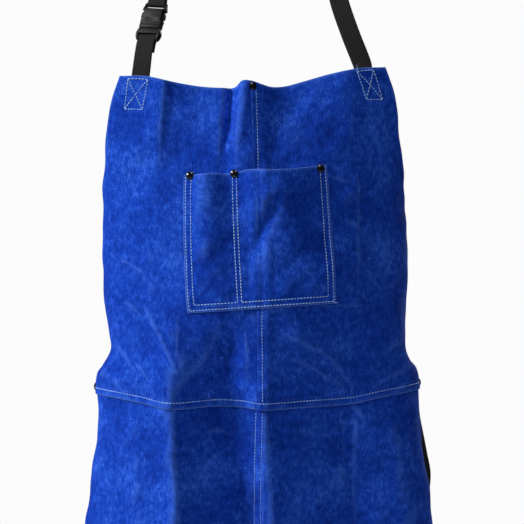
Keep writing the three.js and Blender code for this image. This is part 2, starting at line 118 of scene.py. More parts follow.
# the waist stitching's depth, by the distance from the centre line
WAIST_LINE = [
    [-290, 409], [-205, 413], [-160, 419], [-114, 427], [-60, 423], [-20, 424.5], [5, 428],
    [68, 424.5], [138, 420], [170, 413], [226, 405], [290, 402],
]

# the middle of the centre seams: depth, distance to the right of the centre line
BIB_SEAM = [[0, 5], [100, 6], [280, 7.7], [427, 6.5]]
SKIRT_SEAM = [[410, 3], [570, -1.3], [1070, 0]]

POCKET_TOP_LEFT = (-91, 127.5)
POCKET_TOP_RIGHT = (96.5, 116.5)
POCKET_LOW_LEFT = (-90, 309.5)
POCKET_LOW_RIGHT = (104, 296.5)
POCKET_DIVIDER = 0.355
POCKET_DIVIDER_SEAM = 0.03
POCKET_SEAM = 0.06
POCKET_BULGE = 13

# ---- studio


CAMERA_AT = (0.0065, -5.206, -0.433)
LENS = 264.2
LAMPS_AIM = Vector((0, -0.15, -0.55))
SEEN_WORLD = 0.97
WORLD_FILL = 0.02
FLOOR_RADIUS = 2.0


def new_object(name, data):
    made = bpy.data.objects.new(name, data)
    bpy.context.scene.collection.objects.link(made)
    return made


def add_camera():
    lens = bpy.data.cameras.new("camera")
    lens.sensor_width = 36
    lens.lens = LENS
    camera = new_object("camera", lens)
    camera.location = CAMERA_AT
    camera.rotation_euler = (math.radians(90), 0, 0)
    bpy.context.scene.camera = camera


def add_lamp(name, location, watts, size):
    light = bpy.data.lights.new(name, "AREA")
    light.energy = watts
    light.size = size
    lamp = new_object(name, light)
    lamp.location = location
    lamp.visible_camera = False
    toward = LAMPS_AIM - Vector(location)
    lamp.rotation_euler = toward.to_track_quat("-Z", "Y").to_euler()


def add_world():
    """A white studio: pale to look at, and a softer fill for what it lights."""
    world = bpy.data.worlds.new("studio")
    world.use_nodes = True
    bpy.context.scene.world = world
    tree = world.node_tree
    seen = tree.nodes["Background"]
    seen.inputs["Color"].default_value = (1, 1, 1, 1)
    seen.inputs["Strength"].default_value = SEEN_WORLD
    fill_look = {"Color": (0.95, 0.97, 1, 1), "Strength": WORLD_FILL}
    fill = add_node(tree, "ShaderNodeBackground", fill_look)
    ray = add_node(tree, "ShaderNodeLightPath")
    sides = {0: ray.outputs["Is Camera Ray"], 1: fill.outputs[0], 2: seen.outputs[0]}
    choose = add_node(tree, "ShaderNodeMixShader", sides)
    tree.links.new(choose.outputs[0], tree.nodes["World Output"].inputs[0])


def add_floor():
    """A pale disc just below the hem."""
    sides = 96
    z = cad_box[0][2] - 0.002
    turns = [math.tau * k / sides for k in range(sides)]
    rim = [(FLOOR_RADIUS * math.cos(t), FLOOR_RADIUS * math.sin(t), z) for t in turns]
    mesh = bpy.data.meshes.new("floor")
    mesh.from_pydata(rim, [], [range(sides)])
    stops = [(0.3, (0.8, 0.8, 0.8)), (0.7, (0.84, 0.84, 0.84))]
    mesh.materials.append(mottled("studio_floor", stops, (3, 2.0), Roughness=0.9))
    floor = new_object("floor", mesh)
    floor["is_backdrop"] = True


# ---- node materials


def add_node(tree, kind, inputs=None, **settings):
    """A node with its settings, and its inputs by name or index, each a value or another's output."""
    node = tree.nodes.new(kind)
    for key, value in settings.items():
        setattr(node, key, value)
    for key, value in (inputs or {}).items():
        if isinstance(value, bpy.types.NodeSocket):
            tree.links.new(value, node.inputs[key])
        else:
            node.inputs[key].default_value = value
    return node


def math_node(tree, operation, *values):
    node = add_node(tree, "ShaderNodeMath", dict(enumerate(values)), operation=operation)
    return node.outputs[0]


def noise(tree, vector, scale, detail=3.0, roughness=0.55):
    inputs = {"Vector": vector, "Scale": scale, "Detail": detail, "Roughness": roughness}
    return add_node(tree, "ShaderNodeTexNoise", inputs).outputs["Fac"]


def stretched(tree, vector, scale):
    return add_node(tree, "ShaderNodeMapping", {"Vector": vector, "Scale": scale}).outputs[0]


def ramp(tree, value, stops):
    node = add_node(tree, "ShaderNodeValToRGB", {0: value})
    band = node.color_ramp
    while len(band.elements) < len(stops):
        band.elements.new(0.5)
    for element, (position, colour) in zip(band.elements, stops):
        element.position = position
        element.color = colour if len(colour) == 4 else (*colour, 1)
    return node.outputs[0]


def bump(tree, height, distance, strength=1.0, under=None):
    inputs = {"Height": height, "Distance": distance, "Strength": strength}
    if under is not None:
        inputs["Normal"] = under
    return add_node(tree, "ShaderNodeBump", inputs).outputs[0]


def new_material(name, **fixed):
    made = bpy.data.materials.new(name)
    made.use_nodes = True
    shader = made.node_tree.nodes["Principled BSDF"]
    for key, value in fixed.items():
        shader.inputs[key.replace("_", " ")].default_value = value
    return made, made.node_tree, shader


def wire(tree, shader, **sources):
    for key, source in sources.items():
        tree.links.new(source, shader.inputs[key.replace("_", " ")])


def flow_of(tree):
    """A sheet's or a strap's own coordinates, in metres along and down the leather, or across and
    along the webbing."""
    return add_node(tree, "ShaderNodeUVMap", uv_map="flow").outputs[0]


def suede(name, dark, mid, light, worn):
    """Split leather with its nap: clouds of colour, brushed streaks, and paler worn folds."""
    made, tree, shader = new_material(
        name, Roughness=0.92, Specular_IOR_Level=0.05, Sheen_Weight=0.05, Sheen_Roughness=0.45,
        Sheen_Tint=(0.35, 0.55, 1.0, 1),
    )
    flow = flow_of(tree)
    cloud = noise(tree, flow, 15, 3.0, 0.5)
    mottle = noise(tree, stretched(tree, flow, (1, 0.8, 1)), 125, 5.0, 0.66)
    brushed = noise(tree, stretched(tree, flow, (1, 0.3, 1)), 420, 3.0, 0.6)
    fibre = noise(tree, stretched(tree, flow, (1, 0.5, 1)), 1300, 2.0, 0.6)
    tone = -0.465  # so that grains of middle value add up to the middle of the ramp
    for grain, weight in ((cloud, 0.46), (mottle, 0.54), (brushed, 0.4), (fibre, 0.5)):
        tone = math_node(tree, "MULTIPLY_ADD", grain, weight, tone)
    colour = ramp(tree, tone, [(0.3, dark), (0.5, mid), (0.72, light)])
    wear = add_node(tree, "ShaderNodeAttribute", attribute_name="wear").outputs["Fac"]
    rubbed = math_node(tree, "MULTIPLY", wear, math_node(tree, "ADD", mottle, 0.25))
    share = math_node(tree, "MINIMUM", rubbed, 0.9)
    blend = add_node(tree, "ShaderNodeMix", {0: share, 6: colour, 7: (*worn, 1)}, data_type="RGBA")
    nap = bump(tree, mottle, 0.001, 0.3)
    nap = bump(tree, brushed, 0.0005, 0.35, nap)
    nap = bump(tree, fibre, 0.0003, 0.5, nap)
    wire(tree, shader, Base_Color=blend.outputs[2], Normal=nap)
    return made


def webbing_material():
    """Flat black webbing: ribs along it, crossed by the weft."""
    made, tree, shader = new_material(
        "webbing", Roughness=0.72, Specular_IOR_Level=0.2, Sheen_Weight=0.05, Sheen_Roughness=0.4,
        Sheen_Tint=(0.7, 0.75, 0.85, 1),
    )
    flow = flow_of(tree)
    parts = add_node(tree, "ShaderNodeSeparateXYZ", {0: flow})
    across = math_node(tree, "MULTIPLY", parts.outputs[0], 1 / 0.0021)
    rib = math_node(tree, "ABSOLUTE", math_node(tree, "SINE", math_node(tree, "MULTIPLY", across, math.pi)))
    side = math_node(tree, "MULTIPLY", math_node(tree, "FLOOR", across), math.pi)
    weft_turn = math_node(tree, "MULTIPLY_ADD", parts.outputs[1], math.tau / 0.0024, side)
    weft = math_node(tree, "SINE", weft_turn)
    weave = math_node(tree, "MULTIPLY_ADD", weft, 0.3, rib)
    dust = noise(tree, flow, 130, 4.0)
    tone = math_node(tree, "MULTIPLY_ADD", weave, 0.4, math_node(tree, "MULTIPLY", dust, 0.5))
    colour = ramp(tree, tone, [(0.2, (0.004, 0.004, 0.005)), (0.8, (0.015, 0.015, 0.018))])
    wire(tree, shader, Base_Color=colour, Normal=bump(tree, weave, 0.0004, 0.7))
    return made


def mottled(name, stops, spots, grain=None, relief=None, rough=None, on_flow=False, **fixed):
    """A ramp of colour over a noise, with its relief from another noise or from the same one. Spots and
    grain are scale and detail, relief is distance and strength, and rough is a factor and what is added."""
    made, tree, shader = new_material(name, **fixed)
    place = flow_of(tree) if on_flow else add_node(tree, "ShaderNodeTexCoord").outputs["Object"]
    smudge = noise(tree, place, *spots)
    wire(tree, shader, Base_Color=ramp(tree, smudge, stops))
    if relief:
        height = noise(tree, place, *grain) if grain else smudge
        wire(tree, shader, Normal=bump(tree, height, *relief))
    if rough:
        wire(tree, shader, Roughness=math_node(tree, "MULTIPLY_ADD", smudge, *rough))
    return made


CUT_EDGE = {
    "spots": (900, 4.0, 0.7), "relief": (0.0006, 0.8), "on_flow": True, "Roughness": 0.95,
    "Specular_IOR_Level": 0.1,
}
MATERIALS = {
    "suede": suede(
        "blue_suede", (0.003, 0.024, 0.28), (0.008, 0.06, 0.53), (0.05, 0.185, 0.92), (0.1, 0.26, 0.92)
    ),
    "flesh": suede(
        "blue_flesh_side", (0.005, 0.025, 0.24), (0.012, 0.054, 0.4), (0.035, 0.115, 0.58), (0.08, 0.2, 0.7)
    ),
    "edge": mottled("cut_edge", [(0.3, (0.06, 0.15, 0.5)), (0.7, (0.2, 0.33, 0.68))], **CUT_EDGE),
    # painted shade: a dark rim that stands for the shadow line at the centre seams' laps
    "painted_shade": mottled("painted_shade_edge", [(0.3, (0.002, 0.008, 0.07)), (0.7, (0.005, 0.018, 0.16))], **CUT_EDGE),
    "thread": mottled(
        "thread", [(0.3, (0.2, 0.42, 1.0)), (0.62, (0.46, 0.7, 1.0))], (60, 3.0), (2600, 1.0),
        (0.0003, 0.6), Roughness=0.6, Sheen_Weight=0.1, Specular_IOR_Level=0.2,
    ),
    "webbing": webbing_material(),
    "plastic": mottled(
        "moulded_plastic", [(0.3, (0.004, 0.004, 0.0045)), (0.7, (0.009, 0.009, 0.01))], (70, 3.0),
        (2200, 2.0), (0.0002, 0.35), (0.2, 0.38), Specular_IOR_Level=0.24,
    ),
    "rivet": mottled(
        "black_rivet", [(0.3, (0.004, 0.004, 0.005)), (0.75, (0.013, 0.013, 0.015))], (420, 3.0),
        relief=(0.0002, 0.2), rough=(0.2, 0.12), Specular_IOR_Level=0.4, Coat_Weight=0.2,
        Coat_Roughness=0.12,
    ),
}

# ---- the worn surface


def follow(table, at, column=1):
    """One column of a table of rows, read smoothly between its rows."""
    knots, values = np.asarray(table, float)[:, (0, column)].T
    before = np.maximum(np.arange(len(knots)) - 1, 0)
    after = np.minimum(np.arange(len(knots)) + 1, len(knots) - 1)
    slopes = (values[after] - values[before]) / (knots[after] - knots[before])
    i = np.searchsorted(knots[1:-1], at)
    span = knots[i + 1] - knots[i]
    t = np.clip((at - knots[i]) / span, 0, 1)
    rise = values[i] + (values[i + 1] - values[i]) * t * t * (3 - 2 * t)
    return rise + t * (1 - t) * span * ((1 - t) * slopes[i] - t * slopes[i + 1])


def smooth(t):
    t = np.clip(t, 0, 1)
    return t * t * (3 - 2 * t)


def lerp(a, b, t):
    return a + (b - a) * t


def unit(vectors):
    return vectors / np.linalg.norm(vectors, axis=-1, keepdims=True)


def ellipse_angle(distance, breadth, through):
    """The angle reached on an ellipse after going a distance along it from its front."""
    steps = 32

    def speed(angle):
        return np.hypot(breadth * np.cos(angle), through * np.sin(angle))

    angle = np.zeros_like(distance)
    for _ in range(steps):
        half = angle + distance / steps / speed(angle) / 2
        angle = angle + distance / steps / speed(half)
    return angle


def figure(along, depth):
    """The smooth worn surface, before folds."""
    breadth = follow(SHAPE, depth, BREADTH)
    through = follow(SHAPE, depth, THROUGH)
    angle = ellipse_angle(along, breadth, through)
    edge = np.clip(along, DROOP[0][0], DROOP[-1][0])
    sag = follow(DROOP, edge) * np.exp(-((depth / DROOP_FADE) ** 2))
    x = follow(SHAPE, depth, SHIFT) + breadth * np.sin(angle)
    y = follow(SHAPE, depth, FRONT) + through * (1 - np.cos(angle))
    return np.stack([x, y, BIB_TOP - depth - sag], axis=-1)


def facing(surface, u, v, step=1.0):
    """A surface's unit vectors to the right, downwards and outwards at (u, v)."""
    right = surface(u + step, v) - surface(u - step, v)
    down = surface(u, v + step) - surface(u, v - step)
    out = np.cross(down, right)
    return [unit(vectors) for vectors in (right, down, out)]


# Broad folds: how far the leather stands in or out across it, by the distance from the centre line,
# and how much of that there is at each depth
CHEST_SECTION = [
    [-176, 0], [-140, 2], [-119, 5], [-108, -1.5], [-82, -6], [-58, -5], [-41, -3], [-29, -6.5],
    [-15, 4], [-2, 1], [24, -7], [46, -8], [92, -4], [133, 2], [148, -1.5], [176, 0],
]
CHEST_GROWTH = [[0, 1], [58, 0.95], [112, 0.3], [150, 0]]
CHEST_DRIFT = [[0, 4], [60, -3], [150, -9]]
SKIRT_SECTION = [
    [-290, 0], [-200, -3], [-150, 3], [-114, 10], [-103, 4], [-74, -21], [-44, -41], [-30, -42],
    [6, -23], [14, -22], [46, -29], [84, -33], [126, -34], [136, -31], [172, -13], [214, 2],
    [290, 0],
]
SKIRT_GROWTH = [
    [300, 0], [345, 0.32], [385, 0.62], [427, 0.8], [470, 0.9], [579, 1.1], [800, 1.15],
    [1070, 1.25],
]
SKIRT_DRIFT = [[300, 0], [436, 0], [579, 8], [1070, 18]]

# Narrow folds that run down the leather: rows of depth, along and height, then their widths to each side
DOWN_FOLDS = [
    ([[0, -28, -4.2], [60, -34, -3.8], [115, -42, 0]], 6, 4.5),
    ([[8, 20, 0], [55, 27, -1.6], [100, 37, 0]], 7, 6),
    ([[90, 136, 0], [150, 136.5, 4.5], [240, 134.5, 4.5], [310, 133.5, 0]], 28, 9),
    ([[425, -115, 0], [450, -114, 2.5], [579, -106, 3.5], [1070, -96, 4]], 12, 7),
    ([[428, 133, 0], [446, 134, -2.2], [579, 137, -1.6], [760, 146, 0]], 7, 5),
    ([[196, -146, 0], [270, -142, 1.4], [330, -150, 0]], 9, 9),
    ([[455, -168, 0], [520, -164, 1.6], [640, -158, 0]], 12, 9),
    ([[440, 190, 0], [500, 196, 1.5], [600, 204, 0]], 12, 9),
    ([[425, -200, 0], [560, -198, -3], [1070, -190, -8]], 26, 20),
    ([[425, 205, 0], [560, 206, 3], [1070, 210, 7]], 24, 24),
    (
        [[300, -50, 0], [340, -58, 5], [372, -78, 10], [398, -100, 8.5], [425, -113, 2], [450, -114, 0]],
        34,
        12,
    ),
]

# Narrow folds that run across it: rows of along, depth and height, then their widths above and below
ACROSS_FOLDS = [
    ([[4, 322, 0], [40, 337, 3.5], [68, 350, 6], [98, 364, 5], [128, 388, 0]], 26, 11),
    ([[30, 366, 0], [56, 372, 2.4], [84, 384, 2.8], [108, 400, 0]], 12, 7),
    ([[98, 378, 0], [120, 396, -3.5], [136, 414, 0]], 8, 7),
    ([[-92, 388, 0], [-66, 377, 2], [-47, 373, 2.2], [-10, 382, 0]], 8, 6),
    ([[-84, 372, 0], [-56, 366, 2.2], [-28, 374, 0]], 9, 5),
    ([[-205, 236, 0], [-171, 248, 1.8], [-144, 262, 0]], 8, 5),
    ([[-196, 292, 0], [-176, 300, 1.4], [-150, 318, 0]], 7, 5),
    ([[-162, 290, 0], [-127, 344, 3.8], [-102, 386, 0]], 12, 6),
    ([[-218, 352, 0], [-190, 366, 2.4], [-164, 388, 0]], 8, 5),
    ([[-176, 372, 0], [-158, 384, 1.5], [-140, 402, 0]], 5, 4),
    ([[96, 130, 0], [115, 137, 1.6], [136, 144, 0]], 6, 5),
    ([[104, 182, 0], [128, 192, 1.2], [150, 208, 0]], 7, 5),
    ([[150, 286, 0], [182, 276, 1.5], [214, 272, 0]], 8, 6),
    ([[-264, 390, 0], [-220, 394, 3], [-158, 412, 0]], 10, 9),
    ([[156, 408, 0], [192, 391, 3], [244, 380, 0]], 9, 7),
    ([[170, 366, 0], [200, 352, 1.8], [232, 346, 0]], 8, 6),
    ([[120, 446, 0], [137, 440, -2.6], [152, 452, 0]], 5, 6),
    ([[-104, 346, 0], [-80, 360, -8], [-48, 366, -11], [-14, 356, 0]], 30, 28),
    ([[-80, 470, 0], [-56, 462, 1.4], [-32, 474, 0]], 8, 6),
    ([[30, 470, 0], [70, 462, 1.6], [116, 474, 0]], 12, 8),
]

WAVES = np.random.default_rng(11).uniform(0, math.tau, (18, 2))
UNEVENNESS = 0.0052  # a wave's height as a share of its length


def undulation(along, depth):
    """The small unevenness of a hide, as crossing waves from short to long."""
    total = np.zeros_like(along)
    for length, (heading, phase) in zip(np.geomspace(26, 170, len(WAVES)), WAVES):
        turn = (along * math.cos(heading) + depth * math.sin(heading)) * math.tau / length
        total += length * UNEVENNESS * np.sin(turn + phase)
    return total


def ridge(offset, before, after):
    return np.exp(-((offset / np.where(offset < 0, before, after)) ** 2))


def dent(offset, depth=0.55, width=2.4):
    """How thread pulls the leather in along a line of stitching."""
    return -depth * np.exp(-((offset / width) ** 2))


def waist_seam(along):
    return follow(WAIST_LINE, along)


SKIRT_ROWS = (-4.7, 4.1)  # the skirt seam's two rows of stitching, from its middle
# where straps hold the leather flat, to either side: along, depth, and how far each way
HELD_FLAT = [(153, 20, 26, 42), (275, 404, 26, 30)]


def relief(along, depth):
    """How far the leather stands off the smooth figure: folds, unevenness, and pulled-in seams."""
    total = undulation(along, depth)
    total += follow(CHEST_SECTION, along - follow(CHEST_DRIFT, depth)) * follow(CHEST_GROWTH, depth)
    total += follow(SKIRT_SECTION, along - follow(SKIRT_DRIFT, depth)) * follow(SKIRT_GROWTH, depth)
    for rows, left, right in DOWN_FOLDS:
        total += follow(rows, depth, 2) * ridge(along - follow(rows, depth, 1), left, right)
    for rows, above, below in ACROSS_FOLDS:
        total += follow(rows, along, 2) * ridge(depth - follow(rows, along, 1), above, below)
    for side in (-1, 1):
        for reach, down, width, height in HELD_FLAT:
            near = ((along - side * reach) / width) ** 2 + ((depth - down) / height) ** 2
            total *= 1 - np.exp(-near)
    seam_depth = waist_seam(along)
    total += dent(depth - seam_depth)
    above = smooth((seam_depth + 2 - depth) / 4)
    total += above * dent(along - follow(BIB_SEAM, depth), 0.45)
    for offset in SKIRT_ROWS:
        total += (1 - above) * dent(along - follow(SKIRT_SEAM, depth) - offset, 0.4, 1.8)
    return total


def skin(along, depth, lift=0.0):
    """A point at a distance outwards from the leather's inner face."""
    along, depth, lift = np.broadcast_arrays(*(np.asarray(v, float) for v in (along, depth, lift)))
    out = facing(figure, along, depth)[2]
    return figure(along, depth) + out * (relief(along, depth) + lift)[..., None]


def in_lap(offset):
    """1 within a centre lap, easing to 0 beside it."""
    return 1 - smooth((np.abs(offset) - SEAM_LAP - 1) / 10)


def left_of_lap(offset):
    return 1 - smooth((offset - SEAM_LAP - 1) / 10)


def over_skirt(along, depth):
    """1 where the bib lies over the skirt's top edge."""
    return smooth((depth - waist_seam(along) + SKIRT_TUCK + 12) / 11)


def skirt_left_lift(along, depth):
    return np.zeros_like(along)


def skirt_right_lift(along, depth):
    return LAYER * left_of_lap(along - follow(SKIRT_SEAM, depth))


def bib_left_lift(along, depth):
    lap = LAYER * in_lap(along - follow(SKIRT_SEAM, depth))
    return over_skirt(along, depth) * (LAP_LAYER + lap)


def bib_right_lift(along, depth):
    lap = LAYER * left_of_lap(along - follow(SKIRT_SEAM, depth))
    own = LAYER * left_of_lap(along - follow(BIB_SEAM, depth))
    return own + over_skirt(along, depth) * (LAP_LAYER + lap)


def bib_front_lift(along, depth):
    return LEATHER + LAYER * in_lap(along - follow(BIB_SEAM, depth))


# ---- meshes


def add_piece(name, mesh, body, replaces=()):
    piece = new_object(name, mesh)
    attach(piece, body)
    if replaces:
        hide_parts(*replaces)
    return piece


def make_mesh(name, points, faces, materials, smooth_angle=40):
    """A mesh from points in millimetres, shaded smooth but for edges sharper than the angle."""
    mesh = bpy.data.meshes.new(name)
    mesh.from_pydata((np.asarray(points) * MM).tolist(), [], faces)
    for key in materials:
        mesh.materials.append(MATERIALS[key])
    mesh.polygons.foreach_set("use_smooth", [True] * len(mesh.polygons))
    mesh.set_sharp_from_angle(angle=math.radians(smooth_angle))
    mesh.update()
    return mesh


def set_flow(mesh, flow):
    """The coordinates that the materials follow, one pair in metres for each vertex."""
    layer = mesh.uv_layers.new(name="flow")
    corners = np.empty(len(mesh.loops), int)
    mesh.loops.foreach_get("vertex_index", corners)
    layer.data.foreach_set("uv", np.asarray(flow)[corners].ravel())


def set_wear(mesh, wear):
    layer = mesh.attributes.new("wear", "FLOAT", "POINT")
    layer.data.foreach_set("value", wear)


def edge_ring(rows, columns):
    """The indices of a grid's border, in order round it."""
    grid = np.arange(rows * columns).reshape(rows, columns)
    return np.concatenate([grid[0, :-1], grid[:-1, -1], grid[-1, :0:-1], grid[:0:-1, 0]])


EDGE_SWELL = 0.3 * LEATHER
FLESH_SHIFT = 0.37  # the flesh side's pattern isn't the front's
RIM_SHIFT = (0.003, 0)


def sheet_mesh(name, front, back, flow, wear, pale=None):
    """A closed sheet between two grids of points. Its rounded edge is pale, or dark with painted shade where
    pale is false.
    """
    rows, columns = front.shape[:2]
    count = rows * columns
    middle = (front + back) / 2
    outward = np.zeros_like(middle)
    outward[0] += middle[0] - middle[1]
    outward[-1] += middle[-1] - middle[-2]
    outward[:, 0] += middle[:, 0] - middle[:, 1]
    outward[:, -1] += middle[:, -1] - middle[:, -2]
    ring = edge_ring(rows, columns)
    f, b, push = (grid.reshape(-1, 3)[ring] for grid in (front, back, outward))
    rims = [lerp(f, b, share) + unit(push) * EDGE_SWELL for share in (0.22, 0.78)]
    points = np.concatenate([front.reshape(-1, 3), back.reshape(-1, 3), *rims])

    i = np.arange(count).reshape(rows, columns)
    quad = np.stack([i[:-1, :-1], i[1:, :-1], i[1:, 1:], i[:-1, 1:]], axis=-1).reshape(-1, 4)
    behind = quad[:, ::-1] + count
    first = np.arange(len(ring)) + 2 * count
    loops = [ring, first, first + len(ring), ring + count]
    strips = [
        np.stack([near, np.roll(near, -1), np.roll(far, -1), far], axis=-1)
        for near, far in zip(loops, loops[1:])
    ]
    faces = np.concatenate([quad, behind, *strips])
    mesh = make_mesh(name, points, faces.tolist(), ["suede", "flesh", "edge", "painted_shade"], 60)
    # rims where pale is false get the painted shade, a dark line in place of a shadow
    rim_kinds = np.full(len(ring), 2) if pale is None else np.where(pale.ravel()[ring], 2, 3)
    kinds = np.concatenate([np.zeros(len(quad)), np.ones(len(behind)), np.tile(rim_kinds, len(strips))])
    mesh.polygons.foreach_set("material_index", kinds.astype(int))
    flat = flow.reshape(-1, 2)
    set_flow(mesh, np.concatenate([flat, flat + FLESH_SHIFT, flat[ring], flat[ring] + RIM_SHIFT]))
    worn = wear.ravel()
    set_wear(mesh, np.concatenate([worn, worn * 0.3, worn[ring], worn[ring]]))
    return mesh


CREST_WEAR, EDGE_WEAR = 0.3, 0.4  # the most that a fold's crest and a cut edge are rubbed
EDGE_REACH = 2.5


def wear_of(heights, spacing):
    """Paler where a fold crests and along the cut edges, from a grid of heights."""
    beside = heights[:-2, 1:-1] + heights[2:, 1:-1] + heights[1:-1, :-2] + heights[1:-1, 2:]
    bend = np.pad(4 * heights[1:-1, 1:-1] - beside, 1) / spacing**2
    crest = np.clip(bend * 5 - 0.1, 0, CREST_WEAR)
    down, over = (np.minimum(np.arange(n), n - 1 - np.arange(n)) * spacing for n in heights.shape)
    near_edge = EDGE_WEAR * np.exp(-((np.minimum(down[:, None], over) / EDGE_REACH) ** 2))
    return np.maximum(crest, near_edge)


# ---- leather pieces

SKIRT_FOOT = HEM_DEPTH - WAIST_DEPTH
LAP_ROWS = np.linspace(-SKIRT_TUCK, BIB_LAP, 14)
BIB_ROWS = np.concatenate([np.linspace(-WAIST_DEPTH, -SKIRT_TUCK, 185), LAP_ROWS[1:]])
SKIRT_ROWS_DOWN = np.concatenate([LAP_ROWS[:-1], np.linspace(BIB_LAP, SKIRT_FOOT, 235)])
PANEL_COLUMNS = 112
PANEL_SPACING = 2.3  # between its points, about
LAPPED_SHARE = 0.04  # of a panel's width, where the centre lap hides it from wear
POCKET_COLUMNS, POCKET_ROWS = 110, 96
POCKET_SPACING = 1.8


def row_depth(row, along):
    """The depth of a row, which is given as a distance below the waist stitching."""
    seam = waist_seam(along)
    above = (seam - SKIRT_TUCK) * (1 - (row + SKIRT_TUCK) / (SKIRT_TUCK - WAIST_DEPTH))
    below = seam + BIB_LAP + (row - BIB_LAP) / (SKIRT_FOOT - BIB_LAP) * (HEM_DEPTH - seam - BIB_LAP)
    return np.where(row < -SKIRT_TUCK, above, np.where(row > BIB_LAP, below, seam + row))


def edge_wander(depth, side):
    """How unevenly the side of a panel was cut."""
    return 0.7 * np.sin(depth / 23 + side) + 0.4 * np.sin(depth / 9.5 + 2 * side)


def add_panel(name, rows, side, seam, lift, flow_shift):
    """A panel from its centre seam to its cut side; the shift gives it a pattern of its own."""
    share, row = np.meshgrid(np.linspace(0, 1, PANEL_COLUMNS), rows)
    if side < 0:
        share = share[:, ::-1]
    near = row_depth(row, share * side * SIDE_REACH)
    inner = follow(seam, near) - side * SEAM_LAP
    outer = side * (follow(SHAPE, near, CUT) + edge_wander(near, side))
    along = lerp(inner, outer, share)
    depth = row_depth(row, along)
    lifted = lift(along, depth)
    back = skin(along, depth, lifted)
    front = skin(along, depth, lifted + LEATHER)
    flow = np.stack([along, depth], axis=-1) * MM + flow_shift
    wear = wear_of(relief(along, depth), PANEL_SPACING)
    wear = np.where(share < LAPPED_SHARE, wear * 0.2, wear)
    # the rim along the centre seam gets painted shade, for the shadow at the lap's edge
    mesh = sheet_mesh(name, front, back, flow, wear, pale=share > 0)
    piece = add_piece(name, mesh, "apron", [name.replace("_suede", "")])


def pocket_stand_off(p, q):
    """How far the pocket stands off, at shares p across it and q down it."""

    def slot(start, end, lean):
        return np.sin(math.pi * np.clip((p - start) / (end - start), 0, 1) ** lean) ** 1.5

    pen = slot(POCKET_SEAM, POCKET_DIVIDER - POCKET_DIVIDER_SEAM, 0.72)
    main = slot(POCKET_DIVIDER + POCKET_DIVIDER_SEAM, 1 - POCKET_SEAM, 0.85)
    fade = np.clip(1 - q / (1 - POCKET_SEAM), 0, 1) ** 1.2
    crease = np.exp(-(((p - 0.62 + 0.42 * (q - 0.25)) / 0.045) ** 2) - ((q - 0.42) / 0.2) ** 2)
    return POCKET_BULGE * (pen + main) * fade - 4.5 * crease * (main > 0)


def pocket_place(p, q):
    bow = -2.2 * np.sin(math.pi * np.clip(q, 0, 1)) * (1 - p)
    corners = (POCKET_TOP_LEFT, POCKET_TOP_RIGHT, POCKET_LOW_LEFT, POCKET_LOW_RIGHT)
    along, depth = (lerp(lerp(a, b, p), lerp(c, d, p), q) for a, b, c, d in zip(*corners))
    return along + bow, depth


def pocket_skin(p, q, lift=0.0):
    """A point at a distance outwards from the pocket's inner face."""
    p, q = np.broadcast_arrays(np.asarray(p, float), np.asarray(q, float))
    along, depth = pocket_place(p, q)
    inner = bib_front_lift(along, depth) + GAP + pocket_stand_off(p, q)
    return skin(along, depth, inner + pocket_dents(p, q) + lift)


POCKET_W = 190.0
POCKET_H = 181.0
OUTER_STITCH = 2.4
INNER_STITCH = 9.3
DIVIDER_STITCH = 0.014
OUTER_START, INNER_START = 0.008, 0.03


def open_box(left, right, start, inset):
    """A line of stitching down, across and up again, as shares across and down the pocket."""
    low = 1 - inset / POCKET_H
    return [(left, start), (left, low), (right, low), (right, start)]


OUTER_SHARE, INNER_SHARE = OUTER_STITCH / POCKET_W, INNER_STITCH / POCKET_W
POCKET_LINES = [
    open_box(OUTER_SHARE, 1 - OUTER_SHARE, OUTER_START, OUTER_STITCH),
    open_box(INNER_SHARE, POCKET_DIVIDER - DIVIDER_STITCH, INNER_START, INNER_STITCH),
    open_box(POCKET_DIVIDER + DIVIDER_STITCH, 1 - INNER_SHARE, INNER_START, INNER_STITCH),
]


def pocket_dents(p, q):
    """How the three lines of stitching pull the pocket in."""
    total = np.zeros_like(p)
    for line in POCKET_LINES:
        for (p0, q0), (p1, q1) in zip(line, line[1:]):
            across = (p - p0) * POCKET_W, (q - q0) * POCKET_H
            run = (p1 - p0) * POCKET_W, (q1 - q0) * POCKET_H
            length2 = run[0] ** 2 + run[1] ** 2
            t = np.clip((across[0] * run[0] + across[1] * run[1]) / length2, 0, 1)
            near = np.hypot(across[0] - t * run[0], across[1] - t * run[1])
            total = np.minimum(total, dent(near, 0.45, 2.0))
    return total


def add_pocket():
    p, q = np.meshgrid(np.linspace(0, 1, POCKET_COLUMNS), np.linspace(0, 1, POCKET_ROWS))
    back = pocket_skin(p, q)
    front = pocket_skin(p, q, LEATHER)
    along, depth = pocket_place(p, q)
    flow = np.stack([along, depth], axis=-1) * MM + (1.7, 0.4)
    wear = wear_of(pocket_stand_off(p, q) + relief(along, depth), POCKET_SPACING)
    mesh = sheet_mesh("pocket_suede", front, back, flow, wear)
    piece = add_piece("pocket_suede", mesh, "apron", ["pocket"])


def add_leather():
    add_panel("bib_panel_left_suede", BIB_ROWS, -1, BIB_SEAM, bib_left_lift, (0.0, 0.0))
    add_panel("bib_panel_right_suede", BIB_ROWS, 1, BIB_SEAM, bib_right_lift, (0.6, 0.2))
    add_panel("skirt_panel_left_suede", SKIRT_ROWS_DOWN, -1, SKIRT_SEAM, skirt_left_lift, (1.1, 0.5))
    add_panel("skirt_panel_right_suede", SKIRT_ROWS_DOWN, 1, SKIRT_SEAM, skirt_right_lift, (2.3, 0.9))


# ---- rivets

